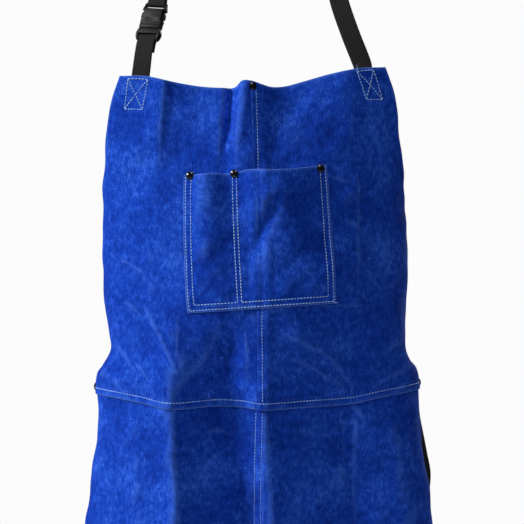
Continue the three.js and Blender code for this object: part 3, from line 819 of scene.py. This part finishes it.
# name, along, depth, and the lifts between which it holds its layers
RIVETS = [
    ("centre_rivet", 1, 6.5, 0, LEATHER + LAYER),
    ("pocket_rivet_left", -83.2, 127.2, 0, LEATHER + LAYER),
    ("pocket_rivet_middle", -24.8, 124.2, 0, LEATHER + LAYER),
    ("pocket_rivet_right", 88, 120.6, 0, LEATHER + LAYER),
    ("waist_rivet_left", -SIDE_REACH, 409, -WAIST_INSET - WEB_THICK, LEATHER + LAP_LAYER),
    ("waist_rivet_right", SIDE_REACH, 403, -WAIST_INSET - WEB_THICK, LEATHER + LAP_LAYER),
]
RIVET_STEM = 1.6
CAP_PROFILE = [
    (0, 0), (4.4, 0), (4.95, 0.12), (5.2, 0.42), (5.15, 0.75), (4.85, 1.0), (4.45, 1.12), (4.1, 1.3),
    (3.4, 1.75), (2.55, 2.08), (1.6, 2.29), (0.8, 2.39), (0, 2.42),
]
BACK_PROFILE = [(0, -1.05), (2.6, -1.05), (3.8, -0.9), (4.35, -0.55), (4.4, -0.2), (4.2, 0), (RIVET_STEM, 0)]


def turned(name, profile, at, axes, sides=44):
    """A turned form on a point, from rows of radius and height that start and end on its axis."""
    right, _, out = axes
    down = np.cross(out, right)
    rows, faces = [], []
    ring_starts = []
    turns = np.arange(sides) * math.tau / sides
    for radius, height in profile:
        ring_starts.append(len(rows))
        if radius == 0:
            rows.append(at + out * height)
        else:
            rows.extend(at + radius * (np.cos(t) * right + np.sin(t) * down) + height * out for t in turns)
    for k in range(len(profile) - 1):
        low, high = ring_starts[k], ring_starts[k + 1]
        for i in range(sides):
            j = (i + 1) % sides
            if profile[k][0] == 0:
                faces.append((low, high + j, high + i))
            elif profile[k + 1][0] == 0:
                faces.append((low + i, low + j, high))
            else:
                faces.append((low + i, low + j, high + j, high + i))
    return make_mesh(name, rows, faces, ["rivet"], 35)


def add_rivet(name, along, depth, low, high):
    axes = [w[0] for w in facing(skin, np.array([float(along)]), np.array([float(depth)]), 3.0)]
    reach = high - low + 0.4
    stem = [*BACK_PROFILE, (RIVET_STEM, reach), (0, reach)]
    forms = (("head", "cap", CAP_PROFILE, high + 0.1), ("back", "post", stem, low - 0.1))
    for part, node, profile, lift in forms:
        mesh = turned(f"{name}_{part}", profile, skin(along, depth, lift), axes)
        add_piece(mesh.name, mesh, "apron", [f"{name}_{node}"])


# ---- stitching

STITCH = 4.3
THREAD_RADIUS = 0.6
FINE_THREAD = 0.44  # in the bib's centre seam
FINEST_THREAD = 0.36  # in the skirt's
WAIST_STITCHED = 283  # how far from the centre line the waist stitching goes
loose = np.random.default_rng(5)


def stitch_line(surface, u, v, step=0.5, side=1):
    """A line's stitches on a surface: their middles, directions along and outwards, and half lengths."""
    points = surface(u, v)
    run = np.concatenate([[0], np.cumsum(np.linalg.norm(np.diff(points, axis=0), axis=1))])
    count = max(1, round(run[-1] / STITCH))
    middles = (np.arange(count) + 0.5) * run[-1] / count

    def on_line(at):
        return surface(np.interp(at, run, u), np.interp(at, run, v))

    ahead = unit(on_line(middles + 0.4) - on_line(middles - 0.4))
    out = facing(surface, np.interp(middles, run, u), np.interp(middles, run, v), step)[2] * side
    half = np.full(count, run[-1] / count * 0.44)
    return on_line(middles), ahead, out, half


def corners_line(surface, corners, step=0.5, side=1):
    """Lines of stitches from corner to corner."""
    lines = []
    for (u0, v0), (u1, v1) in zip(corners, corners[1:]):
        t = np.linspace(0, 1, 80)
        lines.append(stitch_line(surface, lerp(u0, u1, t), lerp(v0, v1, t), step, side))
    return lines


def stitched(name, lines, radius=THREAD_RADIUS):
    """Thread from lines of stitches, each a short arc that dips into the leather at its ends."""
    middle, ahead, out, half = (np.concatenate(parts) for parts in zip(*lines))
    ahead = ahead + np.cross(out, ahead) * loose.normal(0, 0.045, len(half))[:, None]
    half = half * loose.uniform(0.93, 1.05, len(half))
    side = np.cross(out, ahead)
    along = np.array([-1, -0.82, -0.45, 0, 0.45, 0.82, 1])
    girth = np.array([0.3, 0.75, 1, 1.05, 1, 0.75, 0.3]) * radius
    rise = 0.72 * (1 - along**2) - 0.45
    sides = 6
    turns = np.arange(sides) * math.tau / sides
    offset_side = girth[:, None] * np.cos(turns)
    offset_out = rise[:, None] + girth[:, None] * np.sin(turns) * 0.85
    points = (
        middle[:, None, None]
        + (along[None, :, None, None] * half[:, None, None, None]) * ahead[:, None, None]
        + offset_side[None, :, :, None] * side[:, None, None]
        + offset_out[None, :, :, None] * out[:, None, None]
    )
    pattern = [face[::-1] for face in ring_faces(len(along), sides)]
    starts = range(0, len(half) * len(along) * sides, len(along) * sides)
    faces = [tuple(start + i for i in face) for start in starts for face in pattern]
    mesh = make_mesh(name, points.reshape(-1, 3), faces, ["thread"], 70)
    add_piece(name, mesh, "apron")


def loose_thread(name, surface, places, bends):
    """A loose end of thread, through places on a surface and then by steps off it."""
    path = [surface(*np.array(at, float)) for at in places]
    path += [path[-1] + bend for bend in bends]
    radius = 0.34
    table = np.column_stack([np.arange(len(path)), np.array(path, float)])
    at = np.linspace(0, len(path) - 1, 10 * len(path))
    centre = np.column_stack([follow(table, at, c) for c in (1, 2, 3)])
    ahead = unit(np.gradient(centre, axis=0))
    side = unit(np.cross(ahead, (0.31, -0.9, 0.3)))
    up = np.cross(side, ahead)
    sides = 7
    turns = np.arange(sides) * math.tau / sides
    spokes = np.cos(turns)[:, None] * side[:, None] + np.sin(turns)[:, None] * up[:, None]
    points = (centre[:, None] + radius * spokes).reshape(-1, 3)
    mesh = make_mesh(name, points, ring_faces(len(at), sides), ["thread"], 70)
    add_piece(name, mesh, "apron")


def ring_faces(rings, sides):
    """The faces of a closed tube of rings, with flat ends."""
    faces = []
    for k in range(rings - 1):
        for i in range(sides):
            j = (i + 1) % sides
            faces.append((k * sides + i, (k + 1) * sides + i, (k + 1) * sides + j, k * sides + j))
    return [*faces, tuple(range(sides)), tuple(reversed(range((rings - 1) * sides, rings * sides)))]


LEFT_PATCH = [(-163.6, 3.6), (-136.2, 3.9), (-146, 44), (-171, 43)]
RIGHT_PATCH = [(138.4, 3.5), (161, 3), (173.4, 40.5), (151, 40)]


def crossed_box(surface, box, step=0.5, side=1):
    """The stitched box with its cross that holds a strap's end."""
    a, b, c, d = box
    lines = []
    for corners in ([a, b, c, d, a], [a, c], [b, d]):
        lines += corners_line(surface, corners, step, side)
    return lines


def raised(surface, lift):
    return lambda u, v: surface(u, v, lift(u, v) if callable(lift) else lift)


def waist_lift(along, depth):
    """The lift of the bib panel that the waist stitching goes through."""
    on_left = along < follow(BIB_SEAM, depth) - SEAM_LAP
    return np.where(on_left, bib_left_lift(along, depth), bib_right_lift(along, depth)) + LEATHER


inner_face = raised(skin, 0.0)
leather_face = raised(skin, LEATHER)
pocket_face = raised(pocket_skin, LEATHER)


def stitch_bib_seam():
    face = raised(skin, lambda s, d: bib_right_lift(s, d) + LEATHER)
    depth = np.linspace(10, WAIST_DEPTH - 1, 300)
    line = follow(BIB_SEAM, depth)
    beside_pocket = (depth <= 122, depth >= 301)
    lines = [stitch_line(face, line[part], depth[part]) for part in beside_pocket]
    lines.append(stitch_line(inner_face, line, depth, side=-1))
    stitched("stitching_bib_seam", lines, FINE_THREAD)


def stitch_skirt_seam():
    face = raised(skin, lambda s, d: skirt_right_lift(s, d) + LEATHER)
    depth = np.linspace(WAIST_DEPTH + BIB_LAP + 4, HEM_DEPTH - 3, 400)
    lines = []
    for offset in SKIRT_ROWS:
        line = follow(SKIRT_SEAM, depth) + offset
        lines.append(stitch_line(face, line, depth))
        lines.append(stitch_line(inner_face, line, depth, side=-1))
    stitched("stitching_skirt_seam", lines, FINEST_THREAD)


def stitch_waist_seam():
    face = raised(skin, waist_lift)
    lines = []
    for start, end in ((-WAIST_STITCHED, -2), (-1.5, WAIST_STITCHED)):
        along = np.linspace(start, end, 300)
        lines.append(stitch_line(face, along, waist_seam(along)))
    along = np.linspace(-WAIST_STITCHED, WAIST_STITCHED, 600)
    lines.append(stitch_line(inner_face, along, waist_seam(along), side=-1))
    stitched("stitching_waist_seam", lines)


def stitch_pocket():
    lines = []
    for line in POCKET_LINES:
        lines += corners_line(pocket_face, line, 0.004)
        lines += corners_line(lambda p, q: inner_face(*pocket_place(p, q)), line, 0.004, side=-1)
    stitched("stitching_pocket", lines)


def stitch_strap_ends():
    strap_back = raised(skin, -STRAP_INSET - WEB_THICK)
    for word, box in (("left", LEFT_PATCH), ("right", RIGHT_PATCH)):
        lines = crossed_box(leather_face, box) + crossed_box(strap_back, box, side=-1)
        stitched(f"stitching_strap_{word}", lines)


def add_stitching():
    stitch_bib_seam()
    stitch_skirt_seam()
    stitch_waist_seam()
    stitch_pocket()
    stitch_strap_ends()
    strap_end = [(138.4, 3.5), (138.2, 0.8)]
    loose_thread("thread_tail_strap", leather_face, strap_end, [(0.6, -0.9, 2.6), (-0.7, -1.4, 5.6)])
    pocket_end = [(0.987, 0.987), (0.99, 0.992)]
    loose_thread("thread_tail_pocket", pocket_face, pocket_end, [(1.9, -0.7, -0.6), (4.6, 0.1, -1.4)])


# ---- webbing

STRAP_END = 1e9  # past any strap's length


def strap(stations, spacing=2.4):
    """A strap's finely spaced frames, from rows of a point and the direction that its outer face looks in."""
    stations = np.array(stations, float)
    reach = np.concatenate([[0], np.cumsum(np.linalg.norm(np.diff(stations[:, :3], axis=0), axis=1))])
    table = np.column_stack([reach, stations])
    at = np.array([])
    for start, end in zip(reach, reach[1:]):
        steps = max(2, math.ceil((end - start) / spacing))
        at = np.concatenate([at, np.linspace(start, end, steps, endpoint=False)])
    at = np.append(at, reach[-1])
    centre = np.column_stack([follow(table, at, c) for c in (1, 2, 3)])
    out = np.column_stack([follow(table, at, c) for c in (4, 5, 6)])
    ahead = np.gradient(centre, at, axis=0)
    side = unit(np.cross(ahead, out))
    out = unit(np.cross(side, ahead))
    return {"run": at, "centre": centre, "side": side, "out": out, "reach": reach}


def web_section():
    """A webbing's cross-section, as offsets to the side and outwards: flat faces and round edges."""
    half, thick = WEB_WIDTH / 2, WEB_THICK / 2
    flat = np.linspace(thick * 0.7 - half, half - thick * 0.7, 9)
    face = [(x, thick) for x in flat]
    edge = [(half - thick * 0.2, thick * 0.72), (half, 0), (half - thick * 0.2, -thick * 0.72)]
    return np.array(face + edge + [(-x, -z) for x, z in face + edge])


def strap_piece(name, made, body, span=(0, STRAP_END), replaces=()):
    section = web_section()
    keep = (made["run"] >= span[0] - 1e-6) & (made["run"] <= span[1] + 1e-6)
    run = made["run"][keep]
    centre, side, out = (made[key][keep] for key in ("centre", "side", "out"))
    points = centre[:, None] + section[None, :, :1] * side[:, None] + section[None, :, 1:] * out[:, None]
    mesh = make_mesh(name, points.reshape(-1, 3), ring_faces(len(run), len(section)), ["webbing"], 60)
    across = np.tile(section[:, 0], len(run))
    set_flow(mesh, np.column_stack([across, np.repeat(run, len(section))]) * MM)
    return add_piece(name, mesh, body, replaces)


def add_tongue_strap(where, name, ends, stations, held, buckle):
    """A strap that goes from its held stations to a tongue, round its bar, and on to a free tail."""
    made = strap(stations)
    edge, turn = made["reach"][held - 1], made["reach"][held + 1]
    strap_piece(f"{name}_{ends[0]}", made, "apron", (0, edge), [name])
    add_slack(f"{name}_free", made, (edge, turn), buckle)
    strap_piece(f"{name}_{ends[1]}", made, f"{where}_tongue", (turn, STRAP_END))


def add_socket_strap(name, loop_name, stations, buckle, sewn, stitched_length):
    """A strap that ends round a socket's bar, and is sewn to itself there."""
    made = strap([*stations, *buckle.loop(SOCKET_BAR, 1, -1), *buckle.sewn_back(sewn)])
    strap_piece(f"{name}_webbing", made, "apron", replaces=[name])
    bar = made["reach"][len(stations) - 1]
    add_web_stitching(loop_name, made, bar - stitched_length, bar - 2)


def strap_surface(made, lift):
    """A strap's face as a surface: across it, and along its run."""
    table = np.column_stack([made["run"], made["centre"], made["side"], made["out"]])

    def place(u, v):
        rows = np.stack([np.interp(v, table[:, 0], table[:, c]) for c in range(1, 10)], axis=-1)
        return rows[..., :3] + rows[..., 3:6] * np.asarray(u)[..., None] + rows[..., 6:] * lift

    return place


def station(at, out):
    return [*at, *out]


def inside_leather(along, depth, inset):
    along, depth = np.array([float(along)]), np.array([float(depth)])
    out = facing(skin, along, depth)[2][0]
    return station(skin(along, depth, -inset - WEB_THICK / 2)[0], out)


# ---- side-release buckles
#
# A buckle's own frame: x across the webbing, y from the tongue towards the socket, z outwards.
# Its origin is the middle of the socket's mouth.

SOCKET_BAR = 35.7
TONGUE_BAR = -12.7
BAR_HALF = 1.4
BAR_OFFSET = 3.1
LOOP_REACH = 3.25
SLOT_HALF = 13.3


class Buckle:
    def __init__(self, mouth, along, out):
        self.mouth = np.array(mouth, float)
        self.along = unit(np.array(along, float))
        self.out = unit(np.array(out, float) - self.along * np.dot(out, self.along))
        self.across = np.cross(self.along, self.out)

    def place(self, y, z):
        return self.mouth + self.along * y + self.out * z

    def station(self, y, z, face=1):
        """A strap's station, with its outer face outwards (1) or inwards (-1)."""
        return station(self.place(y, z), face * self.out)

    def matrix(self):
        made = Matrix.Identity(4)
        for column, axis in enumerate((self.across, self.along, self.out, self.mouth)):
            for row in range(3):
                made[row][column] = axis[row] * MM
        return made

    def loop(self, bar, start, turn):
        """Webbing that turns round a web bar: it comes in on the outer (1) or inner (-1) face."""
        stations = []
        for angle in np.linspace(0, math.pi, 11):
            y = turn * LOOP_REACH * math.sin(angle)
            z = start * BAR_OFFSET * math.cos(angle)
            out = self.out * math.cos(angle) + self.along * turn * start * math.sin(angle)
            stations.append(station(self.place(bar + y, z), out))
        return stations

    def sewn_back(self, length):
        """The end of a strap that has turned round the socket's bar, against its inner face."""
        near = BAR_OFFSET - WEB_THICK - 0.1
        rows = [(4, -BAR_OFFSET), (9, -BAR_OFFSET * 0.35)]
        rows += [(14 + share * length, near) for share in (0, 0.5, 1)]
        return [self.station(SOCKET_BAR + y, z, -1) for y, z in rows]


def solid(points, faces):
    """A body in millimetres, to be carved before it is placed."""
    mesh = bpy.data.meshes.new("solid")
    mesh.from_pydata([tuple(map(float, p)) for p in points], [], faces)
    return new_object("solid", mesh)


def block(x0, x1, y0, y1, z0, z1):
    points = [(x, y, z) for z in (z0, z1) for x, y in ((x0, y0), (x1, y0), (x1, y1), (x0, y1))]
    return solid(points, [(3, 2, 1, 0), (4, 5, 6, 7), (0, 1, 5, 4), (1, 2, 6, 5), (2, 3, 7, 6), (3, 0, 4, 7)])


def web_slot(y0, y1, z0=-8, z1=8):
    return block(-SLOT_HALF, SLOT_HALF, y0, y1, z0, z1)


def plate(outline, thickness):
    count = len(outline)
    points = [(x, y, z) for z in (-thickness / 2, thickness / 2) for x, y in outline]
    walls = [(i, (i + 1) % count, (i + 1) % count + count, i + count) for i in range(count)]
    return solid(points, [tuple(reversed(range(count))), tuple(range(count, 2 * count)), *walls])


def loft(rows):
    """A body through rounded sections: rows of y, half width, half thickness and corner radius."""
    table = np.array(rows, float)
    at = np.interp(np.arange(3 * len(table) - 2) / 3, np.arange(len(table)), table[:, 0])
    points = []
    for y in at:
        width, thick, radius = (float(follow(table, np.array([y]), c)[0]) for c in (1, 2, 3))
        for corner, (x_side, z_side) in enumerate(((1, 1), (-1, 1), (-1, -1), (1, -1))):
            for step in range(5):
                angle = (corner + step / 4) * math.pi / 2
                x = x_side * (width - radius) + radius * math.cos(angle)
                z = z_side * (thick - radius) + radius * math.sin(angle)
                points.append((x, y, z))
    return solid(points, ring_faces(len(at), 20))


def baked(made):
    """The object's mesh with its modifiers applied."""
    graph = bpy.context.evaluated_depsgraph_get()
    mesh = bpy.data.meshes.new_from_object(made.evaluated_get(graph))
    made.modifiers.clear()
    made.data = mesh
    return made


def combine(base, others, operation):
    for other in others:
        change = base.modifiers.new("combine", "BOOLEAN")
        change.operation = operation
        change.solver = "EXACT"
        change.object = other
        baked(base)
        bpy.data.objects.remove(other)
    return base


def moulded(name, made, buckle, bevel):
    """Rounds a body's edges, and places it in the buckle as the mesh of a piece."""
    rounding = made.modifiers.new("rounding", "BEVEL")
    rounding.width = bevel
    rounding.segments = 3
    rounding.limit_method = "ANGLE"
    rounding.angle_limit = math.radians(38)
    baked(made)
    mesh = made.data
    bpy.data.objects.remove(made)
    mesh.name = name
    mesh.transform(buckle.matrix())
    mesh.materials.clear()
    mesh.materials.append(MATERIALS["plastic"])
    mesh.polygons.foreach_set("use_smooth", [True] * len(mesh.polygons))
    mesh.set_sharp_from_angle(angle=math.radians(32))
    return mesh


def socket():
    body = loft([
        (0, 14.9, 4.6, 2.0), (0.8, 15.4, 5.1, 2.3), (3, 15.6, 5.2, 2.4), (6, 15.6, 4.9, 2.3),
        (10, 15.9, 4.9, 2.3), (16, 16.8, 5.1, 2.5), (24, 17.1, 5.1, 2.5), (29, 16.7, 4.4, 2.2),
        (33, 15.9, 3.0, 1.4), (36.4, 15.6, 1.8, 1.0), (SOCKET_BAR + BAR_HALF, 15.1, 1.4, 0.8),
    ])
    cutters = [
        block(-14.2, 14.2, -1, 27, -3.3, 3.3),  # the cavity, then the prongs' windows and the slot
        block(13, 22, 11.5, 26, -8, 8),
        block(-22, -13, 11.5, 26, -8, 8),
        web_slot(28.4, SOCKET_BAR - BAR_HALF),
    ]
    for face in (1, -1):
        for k in range(3):
            groove = block(-6.5, 6.5, 9.5 + 2.2 * k, 10.3 + 2.2 * k, -0.4, 0.4)
            groove.location.z = face * 5.05
            cutters.append(groove)
    return combine(body, cutters, "DIFFERENCE")


def tongue():
    body = loft([
        (-17.5, 14.9, 2.4, 1.1), (-16.6, 15.6, 3.3, 1.5), (-13, 17.0, 4.3, 1.9), (-9, 17.6, 4.6, 2.0),
        (-6, 17.4, 4.6, 2.0), (-3, 16.3, 4.5, 1.9), (-0.4, 15.1, 4.1, 1.7),
    ])
    slots = [  # the two that the webbing goes through, and what thins the bar between them
        web_slot(-20, TONGUE_BAR - BAR_HALF),
        web_slot(TONGUE_BAR + BAR_HALF, -8.2),
        web_slot(-16, -10, z0=BAR_HALF),
        web_slot(-16, -10, z1=-BAR_HALF),
    ]
    combine(body, slots, "DIFFERENCE")
    plug = block(-8.2, 8.2, -1, 5, -2.9, 2.9)
    guide = plate([(4, 4), (4, 17), (2.4, 20.5), (-2.4, 20.5), (-4, 17), (-4, 4)], 3)
    return combine(body, [plug, guide], "UNION")


def prong(side):
    outline = [(9.3, 0.2), (12.7, 0.2), (12.9, 8), (13, 12.6), (16.3, 13.3), (17, 15), (17.2, 17), (17, 20),
               (16.2, 22.5), (14.8, 24.6), (13.2, 25.4), (11.8, 25), (10.8, 19), (10.2, 12)]
    body = plate(outline if side > 0 else [(-x, y) for x, y in reversed(outline)], 4.6)
    ribs = []
    for y in (15, 16.9, 18.8, 20.7):
        x = 16.7 - 0.05 * (y - 17) ** 2
        low, high = sorted((side * (x - 1), side * (x + 0.75)))
        ribs.append(block(low, high, y - 0.4, y + 0.4, -2.0, 2.0))
    return combine(body, ribs, "UNION")


def add_buckle(where, buckle):
    def put(part, made, body, bevel):
        mesh = moulded(f"{where}_buckle_{part}_moulded", made, buckle, bevel)
        add_piece(mesh.name, mesh, body, [f"{where}_buckle_{part}"])

    put("socket", socket(), "apron", 0.4)
    put("tongue", tongue(), f"{where}_tongue", 0.4)
    put("prong_left", prong(-1), f"{where}_prong_left", 0.3)
    put("prong_right", prong(1), f"{where}_prong_right", 0.3)


NAPE_TILT = np.array([0, 0.94, 0.34]) / math.hypot(0.94, 0.34)


def add_slack(name, made, span, buckle):
    """The free webbing up to a tongue, as a piece with a mesh of its own."""
    piece = strap_piece(name, made, "apron", span)
    ends = [strap_surface(made, 0.0)(0.0, v) for v in span]
    length = abs(np.dot(ends[1] - ends[0], buckle.along)) * MM
    tuple(buckle.along)
    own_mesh(piece)


def add_neck_strap():
    buckle = Buckle((-140.5, -146.2, -126.3), (0.235, 0.34, 0.91), (-0.42, -0.9, 0))
    add_buckle("neck", buckle)

    hidden = [inside_leather(s, d, STRAP_INSET) for s, d in ((-158, 47), (-155, 32), (-151, 17), (-147.5, 3))]
    rise = buckle.station(-26, BAR_OFFSET - 0.3)
    tail = [buckle.station(y, -BAR_OFFSET - dip, -1) for y, dip in ((-20, 0), (-27, 0.8), (-32, 2))]
    short = [*hidden, rise, *buckle.loop(TONGUE_BAR, 1, 1), *tail]
    add_tongue_strap("neck", "neck_strap_short", ("sewn", "loop"), short, len(hidden), buckle)

    middle = NAPE_TILT * WEB_THICK / 2

    def nape(x):
        return station((x, middle[1], middle[2]), NAPE_TILT)

    right_end = [inside_leather(s, d, STRAP_INSET) for s, d in ((161, 44), (157, 30), (152.5, 16), (148, 3))]
    right_run = [
        [137.5, -159.5, -172, 0.05, -0.95, 0.22],
        [123.5, -148, -135, -0.05, -0.93, 0.3],
        [109.5, -131, -92.5, -0.1, -0.9, 0.4],
        [101, -110, -52, -0.02, -0.82, 0.56],
        [94, -82, -18, 0.12, -0.5, 0.84],
        [84, -52, -3, 0.25, -0.1, 0.95],
        [66, -22, -3, 0.25, 0.4, 0.85],
        [40, -5, -2, 0.1, 0.8, 0.55],
        nape(16),
    ]
    left_run = [
        nape(-16),
        [-40, -5, -2, -0.1, 0.8, 0.55],
        [-68, -22, -3, -0.25, 0.4, 0.85],
        [-90, -50, -3, -0.25, -0.1, 0.95],
        [-108, -82, -15, -0.15, -0.5, 0.84],
        [-119, -110, -40, -0.05, -0.8, 0.6],
        buckle.station(SOCKET_BAR + 30, BAR_OFFSET),
        buckle.station(SOCKET_BAR + 14, BAR_OFFSET),
    ]
    rows = [*right_end, *right_run, nape(5), nape(-5), *left_run]
    add_socket_strap("neck_strap_long", "stitching_neck_loop", rows, buckle, 14, 12)


def add_web_stitching(name, made, start, end):
    """The stitched box that holds a strap's turned end, on both of its faces."""
    box = [(-9, start), (9, start), (9, end), (-9, end)]
    front = strap_surface(made, WEB_THICK / 2)
    back = strap_surface(made, -WEB_THICK * 1.5 - 0.1)
    stitched(name, crossed_box(front, box) + crossed_box(back, box, side=-1))


STRAP_DEPTH = 404
STRAP_Z = BIB_TOP - STRAP_DEPTH
BACK_HALF_X, BACK_HALF_Y, BACK_CENTRE = 208, 120, -84


def on_back(degrees):
    angle = math.radians(degrees)
    out = np.array([math.cos(angle) / BACK_HALF_X, math.sin(angle) / BACK_HALF_Y, 0])
    at = (BACK_HALF_X * math.cos(angle), BACK_CENTRE + BACK_HALF_Y * math.sin(angle), STRAP_Z)
    return station(at, unit(out))


def add_waist_strap():
    buckle = Buckle((191.2, -20.3, STRAP_Z), (-0.69, 0.72, 0), (0.72, 0.69, 0))
    add_buckle("waist", buckle)
    hip = (257, 264, 271, 278, 285, 292)

    hidden = [inside_leather(s, STRAP_DEPTH, WAIST_INSET) for s in hip]
    approach = buckle.station(-26, -BAR_OFFSET - 0.4)
    tail = [
        buckle.station(-17, BAR_OFFSET),
        buckle.station(-25, BAR_OFFSET + 0.6),
        [211, -43, -602, 0.75, 0.4, 0.5],
        [213, -47, -620, 0.8, 0, 0.6],
        [214, -48, -648, 0.8, -0.45, 0.35],
        [220, -47, -690, 0.75, -0.65, 0.1],
        [225, -42, -722, 0.75, -0.65, -0.05],
        [219, -34, -768, 0.72, -0.65, -0.2],
    ]
    right = [*hidden, approach, *buckle.loop(TONGUE_BAR, -1, 1), *tail]
    add_tongue_strap("waist", "waist_strap_right", ("riveted", "tail"), right, len(hidden), buckle)

    rows = [inside_leather(-s, STRAP_DEPTH, WAIST_INSET) for s in hip]
    rows += [on_back(a) for a in (172, 162, 152, 142, 132, 122, 114, 105, 96, 90, 84, 75, 66, 57)]
    rows.append(buckle.station(SOCKET_BAR + 14, BAR_OFFSET))
    add_socket_strap("waist_strap_left", "stitching_waist_loop", rows, buckle, 12, 11)


# ---- run

add_camera()
bpy.context.scene.view_settings.view_transform = "Standard"
add_world()
add_floor()
add_lamp("key_light", (-4.6, -1.5, 2.3), 304, 1.1)
add_lamp("front_fill", (0.35, -1.25, 1.5), 12.8, 0.8)
add_lamp("back_light", (1.8, 3.6, 1.2), 60, 1.8)
add_lamp("top_light", (0, 1.2, 2.6), 22, 2.4)

add_leather()
add_pocket()
for rivet in RIVETS:
    add_rivet(*rivet)
add_stitching()
add_neck_strap()
add_waist_strap()

boxes = {"cad": cad_box, "visual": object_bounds()}
{key: [list(map(float, corner)) for corner in box] for key, box in boxes.items()}
